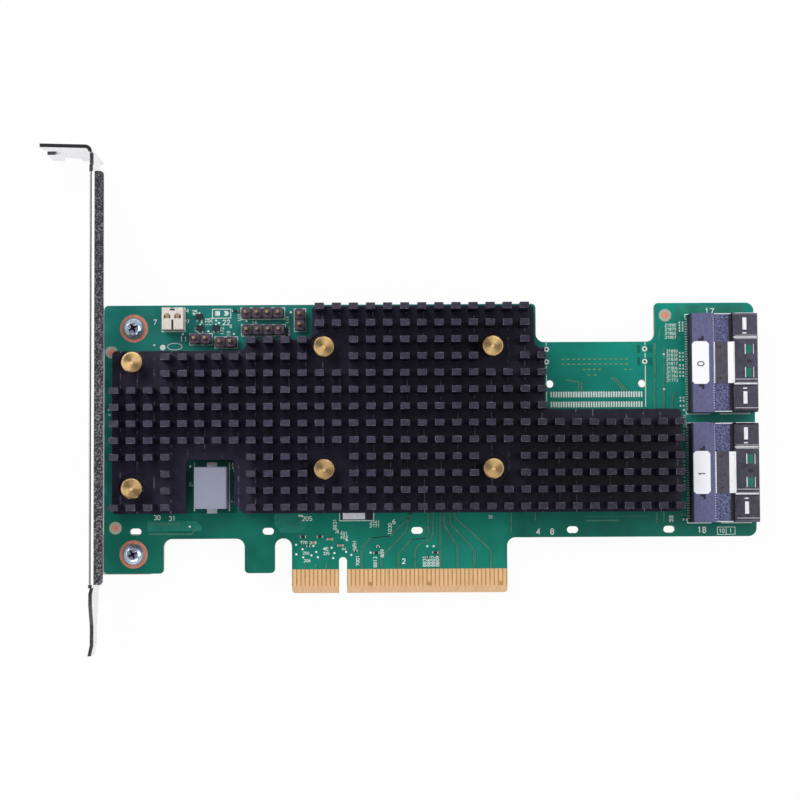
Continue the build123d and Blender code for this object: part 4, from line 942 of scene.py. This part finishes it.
# Cable sockets: moulded edges, seam lines, painted shade in the groove beside each ridge, painted highlights
# on the folds, ridges, ribs and rims, bright contact tails, a glowing sheet standing in for light on the
# board in each window, a plain number on each label
SHELL_SHIFT = 0.4
ON_LABEL = (5.7, 5.715)
ON_HOUSING = (5.6, 5.63)
ON_TAILS = (5.601, 5.612)
ON_PLATE = (5.551, 5.565)
ON_SHOULDER = (5.351, 5.38)
ON_RIDGE = (6.13, 6.15)
ON_RIB = (6.17, 6.19)
SHELL_TOP = 5.951
SHELL_SEAM = (SHELL_TOP, 5.965)
SHELL_CELL = (SHELL_TOP, 5.97)
SHELL_FOLD = (SHELL_TOP, 5.975)
SHELL_RIM = (SHELL_TOP, 5.98)
IN_MOUTH = (0.5, 0.53)
prints, seams_and_groove_shade, highlights_and_tails, lit = Build(), Build(), Build(), Build()
for k, y in enumerate(SOCKET_YS):
    middle = y + SHELL_SHIFT
    numeral(prints, str(k), 85.75, y - 0.75, 1.5, 0.24, *ON_LABEL, 1)
    for side in SIDES:
        seams_and_groove_shade.box(84.5, 85.8, y + side * 5.2, y + side * 5.75, *ON_HOUSING)
        seams_and_groove_shade.box(85.2, 85.8, y + side * 5.75, y + side * 6.3, *ON_HOUSING)
        # Painted highlights on the housing's shoulders and the shell's ridges, ribs, rims and folds
        highlights_and_tails.box(88.3, 92.3, y + side * 11.5, y + side * 11.68, *ON_SHOULDER, 0.01)
        ridge = middle + side * 5.53
        highlights_and_tails.box(92.75, 98.3, ridge - 0.12, ridge + 0.16, *ON_RIDGE, 0.008)
        # Painted shade in the groove beside each ridge
        groove = ridge + side * 0.34
        seams_and_groove_shade.box(92.75, 98.3, groove - 0.09, groove + 0.09, *SHELL_SEAM)
        rib = middle + side * 8.75
        highlights_and_tails.box(94.9, 95.84, rib - 1.45, rib + 1.45, *ON_RIB, 0.008)
        inner = middle + side * 6.55
        highlights_and_tails.box(94.9, 95.84, inner - 0.14, inner + 0.14, *SHELL_RIM, 0.008)
        window = middle + side * 2.75
        highlights_and_tails.box(95.42, 95.62, window - 1.2, window + 1.2, *SHELL_FOLD, 0.006)
        highlights_and_tails.box(97.38, 97.52, window - 1.2, window + 1.2, *SHELL_FOLD, 0.006)
        # Glowing sheet in each window, standing in for light on the board below
        corners = [(95.3, window - 1.6), (97.9, window - 1.6), (97.9, window + 1.6), (95.3, window + 1.6)]
        lit.prism(corners, *IN_MOUTH)
    # Painted highlights on the shell's front fold and along the plate's edge
    highlights_and_tails.box(92.64, 93.0, y - 4.9, y + 4.9, *SHELL_FOLD, 0.008)
    highlights_and_tails.box(88.17, 88.4, y - 4.88, y + 4.88, *ON_PLATE, 0.005)
    prints.box(95.9, 97.0, y - 0.1, y + 0.7, SHELL_TOP, 5.962)
    for cell in (-11.2, -5.2, -4.4, 5.2, 6.0, 11.3):
        highlights_and_tails.box(93.1, 98.35, middle + cell - 0.05, middle + cell + 0.05, *SHELL_CELL, 0.006)
    for i in range(TAILS):
        tail = y - 10.8 + i * TAIL_PITCH
        highlights_and_tails.box(88.0, 88.16, tail - 0.09, tail + 0.09, *ON_TAILS)
    for side in SIDES:
        prints.box(89.0, 89.3, y + side * 3.6, y + side * 3.9, *ON_PLATE)
        prints.box(89.5, 89.8, y + side * 3.5, y + side * 4.0, *ON_PLATE)
lit.done("glowing_sheet_in_windows", LIT, "board_green")
prints.done("label_numbers", PRINT, "chip_black")
seams_and_groove_shade.done("socket_seams_and_groove_shade", PRINT, "chip_black")
highlights_and_tails.done("fold_highlights_and_tails", HIGHLIGHT_AND_TIN, "shell_steel")

# Solder side: joints of the through-hole pins, plated rings and the traces of the hidden face
JOINT_STEPS = ((0.95, CLEAR), (0.9, 0.06), (0.62, 0.35), (0.42, 0.8), (0.36, 0.9))
JOINT = [(radius, BACK - depth) for radius, depth in JOINT_STEPS]
BACK_MARGIN = 1.5
joints, back_silk = Build(), Build()
for pins in HEADER_PINS:
    for x, y in pins:
        joints.lathe(x, y, JOINT, 20, True)
    (x0, y0), (x1, y1) = pins[0], pins[-1]
    back_silk.frame(x0 - BACK_MARGIN, x1 + BACK_MARGIN, y0 - BACK_MARGIN, y1 + BACK_MARGIN, LINE, *BACK_INK)
for x, y in SPRING_SCREWS:
    joints.ring(x, y, 2.3, 3.1, *BACK_TINNED, 40)
for x in FOOT_XS:
    for y in FOOT_YS:
        joints.ring(x, y, 0.28, 0.62, *BACK_TINNED, 24)
joints.done("solder_joints", TIN, "tin")
back_silk.done("back_print", SILK, "label_white")

# Vias under the controller, on a 1 mm grid and clear of the nuts, and runs to the sockets and the contacts
VIAS = 260
NUT_CLEARANCE = 4.0
vias, back_runs = Build(), Build()
for i in range(VIAS):
    x = 15.8 + (rng.random() - 0.5) * 44
    y = 43.7 + (rng.random() - 0.5) * 26
    if any((x - nut_x) ** 2 + (y - nut_y) ** 2 < NUT_CLEARANCE ** 2 for nut_x, nut_y in SPRING_SCREWS):
        continue
    vias.ring(round(x) + 0.3, round(y) + 0.2, 0.12, 0.27, *BACK_RUN, 10)
for i in range(14):
    y = 33 + i * 0.95
    back_runs.path([(40.5, y), (52 + 0.6 * i, y), (56 + 0.6 * i, y - 2.5), (79.0, y - 2.5)], 0.16, *BACK_RUN)
CONTACT_RUN = ((0, 5.9), (0, 10.5), (-2.5, 14.0), (-2.5, 27.5))
SLOT_X = 17.7    # a through slot of the board, which no pair of runs crosses
SLOT_CLEARANCE = 2.4
for i in range(11):
    x = 3.5 + i * 3.3
    if abs(x - 2.2 - SLOT_X) < SLOT_CLEARANCE:
        continue
    for shift in (0, 0.55):
        back_runs.path([(x + shift + dx, y) for dx, y in CONTACT_RUN], 0.18, *BACK_RUN)
vias.done("plated_vias", TIN, "tin")
back_runs.done("back_runs", TRACE, "board_green")

# Floor, in metres as the lamps and camera are: white to the eye, keeps the soft shadow, open from below
FLOOR_HALF = 3
FLOOR_Z = -0.00502
WHITE_SHARE = 0.95
floor_mesh = bpy.data.meshes.new("floor")
corners = [(x * FLOOR_HALF, y * FLOOR_HALF, FLOOR_Z) for x, y in ((-1, -1), (1, -1), (1, 1), (-1, 1))]
floor_mesh.from_pydata(corners, [], [(0, 1, 2, 3)])
floor = bpy.data.objects.new("floor", floor_mesh)
scene.collection.objects.link(floor)
floor_white = bpy.data.materials.new("floor_white")
floor_white.use_nodes = True
tree = floor_white.node_tree
tree.nodes.clear()
matte = add_node(tree, "ShaderNodeBsdfDiffuse", {"Color": (0.86, 0.86, 0.86, 1)})
glow = add_node(tree, "ShaderNodeEmission", {"Color": (1, 1, 1, 1), "Strength": 1.0})
clear = add_node(tree, "ShaderNodeBsdfTransparent")
ray = add_node(tree, "ShaderNodeLightPath").outputs
seen = add_node(tree, "ShaderNodeMath", {0: ray["Is Camera Ray"], 1: ray["Is Glossy Ray"]}, operation="ADD")
seen = add_node(tree, "ShaderNodeMath", {0: seen.outputs[0], 1: ray["Is Transmission Ray"]}, operation="ADD",
                use_clamp=True)
share = add_node(tree, "ShaderNodeMath", {0: seen.outputs[0], 1: WHITE_SHARE}, operation="MULTIPLY")
mixed = add_node(tree, "ShaderNodeMixShader", {0: share.outputs[0], 1: matte.outputs[0], 2: glow.outputs[0]})
behind = add_node(tree, "ShaderNodeNewGeometry").outputs["Backfacing"]
sided = add_node(tree, "ShaderNodeMixShader", {0: behind, 1: mixed.outputs[0], 2: clear.outputs[0]})
add_node(tree, "ShaderNodeOutputMaterial", {0: sided.outputs[0]})
floor_mesh.materials.append(floor_white)

# World: soft, brighter towards the horizon and darker straight up, and plain white to the camera
world = bpy.data.worlds.new("studio")
scene.world = world
world.use_nodes = True
tree = world.node_tree
tree.nodes.clear()
view = add_node(tree, "ShaderNodeTexCoord").outputs["Generated"]
height = add_node(tree, "ShaderNodeSeparateXYZ", {0: view}).outputs["Z"]
rise = add_node(tree, "ShaderNodeMapRange", {0: height, 1: 0.55, 2: 0.97, 3: 0.95, 4: 0.2})
soft = add_node(tree, "ShaderNodeBackground", {"Color": rise.outputs[0], "Strength": 0.62})
white = add_node(tree, "ShaderNodeBackground", {"Color": (1, 1, 1, 1), "Strength": 1.0})
seen = add_node(tree, "ShaderNodeLightPath").outputs["Is Camera Ray"]
pick = add_node(tree, "ShaderNodeMixShader", {0: seen, 1: soft.outputs[0], 2: white.outputs[0]})
add_node(tree, "ShaderNodeOutputWorld", {0: pick.outputs[0]})

AIM = Vector((0.02, 0.03, 0))


def lamp(name, place, size, power):
    """A rectangular lamp that looks at the middle of the card."""
    light = bpy.data.lights.new(name, "AREA")
    light.shape = "RECTANGLE"
    light.size, light.size_y = size
    light.energy = power
    body = bpy.data.objects.new(name, light)
    body.location = place
    body.rotation_euler = (AIM - Vector(place)).to_track_quat("-Z", "Y").to_euler()
    scene.collection.objects.link(body)


lamp("key_lamp", (-0.45, 0.55, 0.75), (0.7, 0.7), 5.6)
lamp("fill_lamp", (0.65, 0.1, 0.7), (0.6, 0.9), 3.2)
lamp("low_lamp", (0.05, -0.7, 0.6), (0.9, 0.5), 2.2)

# Camera: straight above, where the photograph's perspective puts it
FOCAL_PIXELS = 1994.874
PHOTO_WIDTH = 800
camera = bpy.data.cameras.new("camera")
camera.sensor_width = 36.0
camera.lens = FOCAL_PIXELS / PHOTO_WIDTH * 36.0
camera.clip_start = 0.01
camera_body = bpy.data.objects.new("camera", camera)
camera_body.location = (0.013478, 0.020657, 0.476556)
camera_body.rotation_euler = [math.radians(angle) for angle in (3.035, -0.022, -0.298)]
scene.collection.objects.link(camera_body)
scene.camera = camera_body
scene.view_settings.view_transform = "Standard"
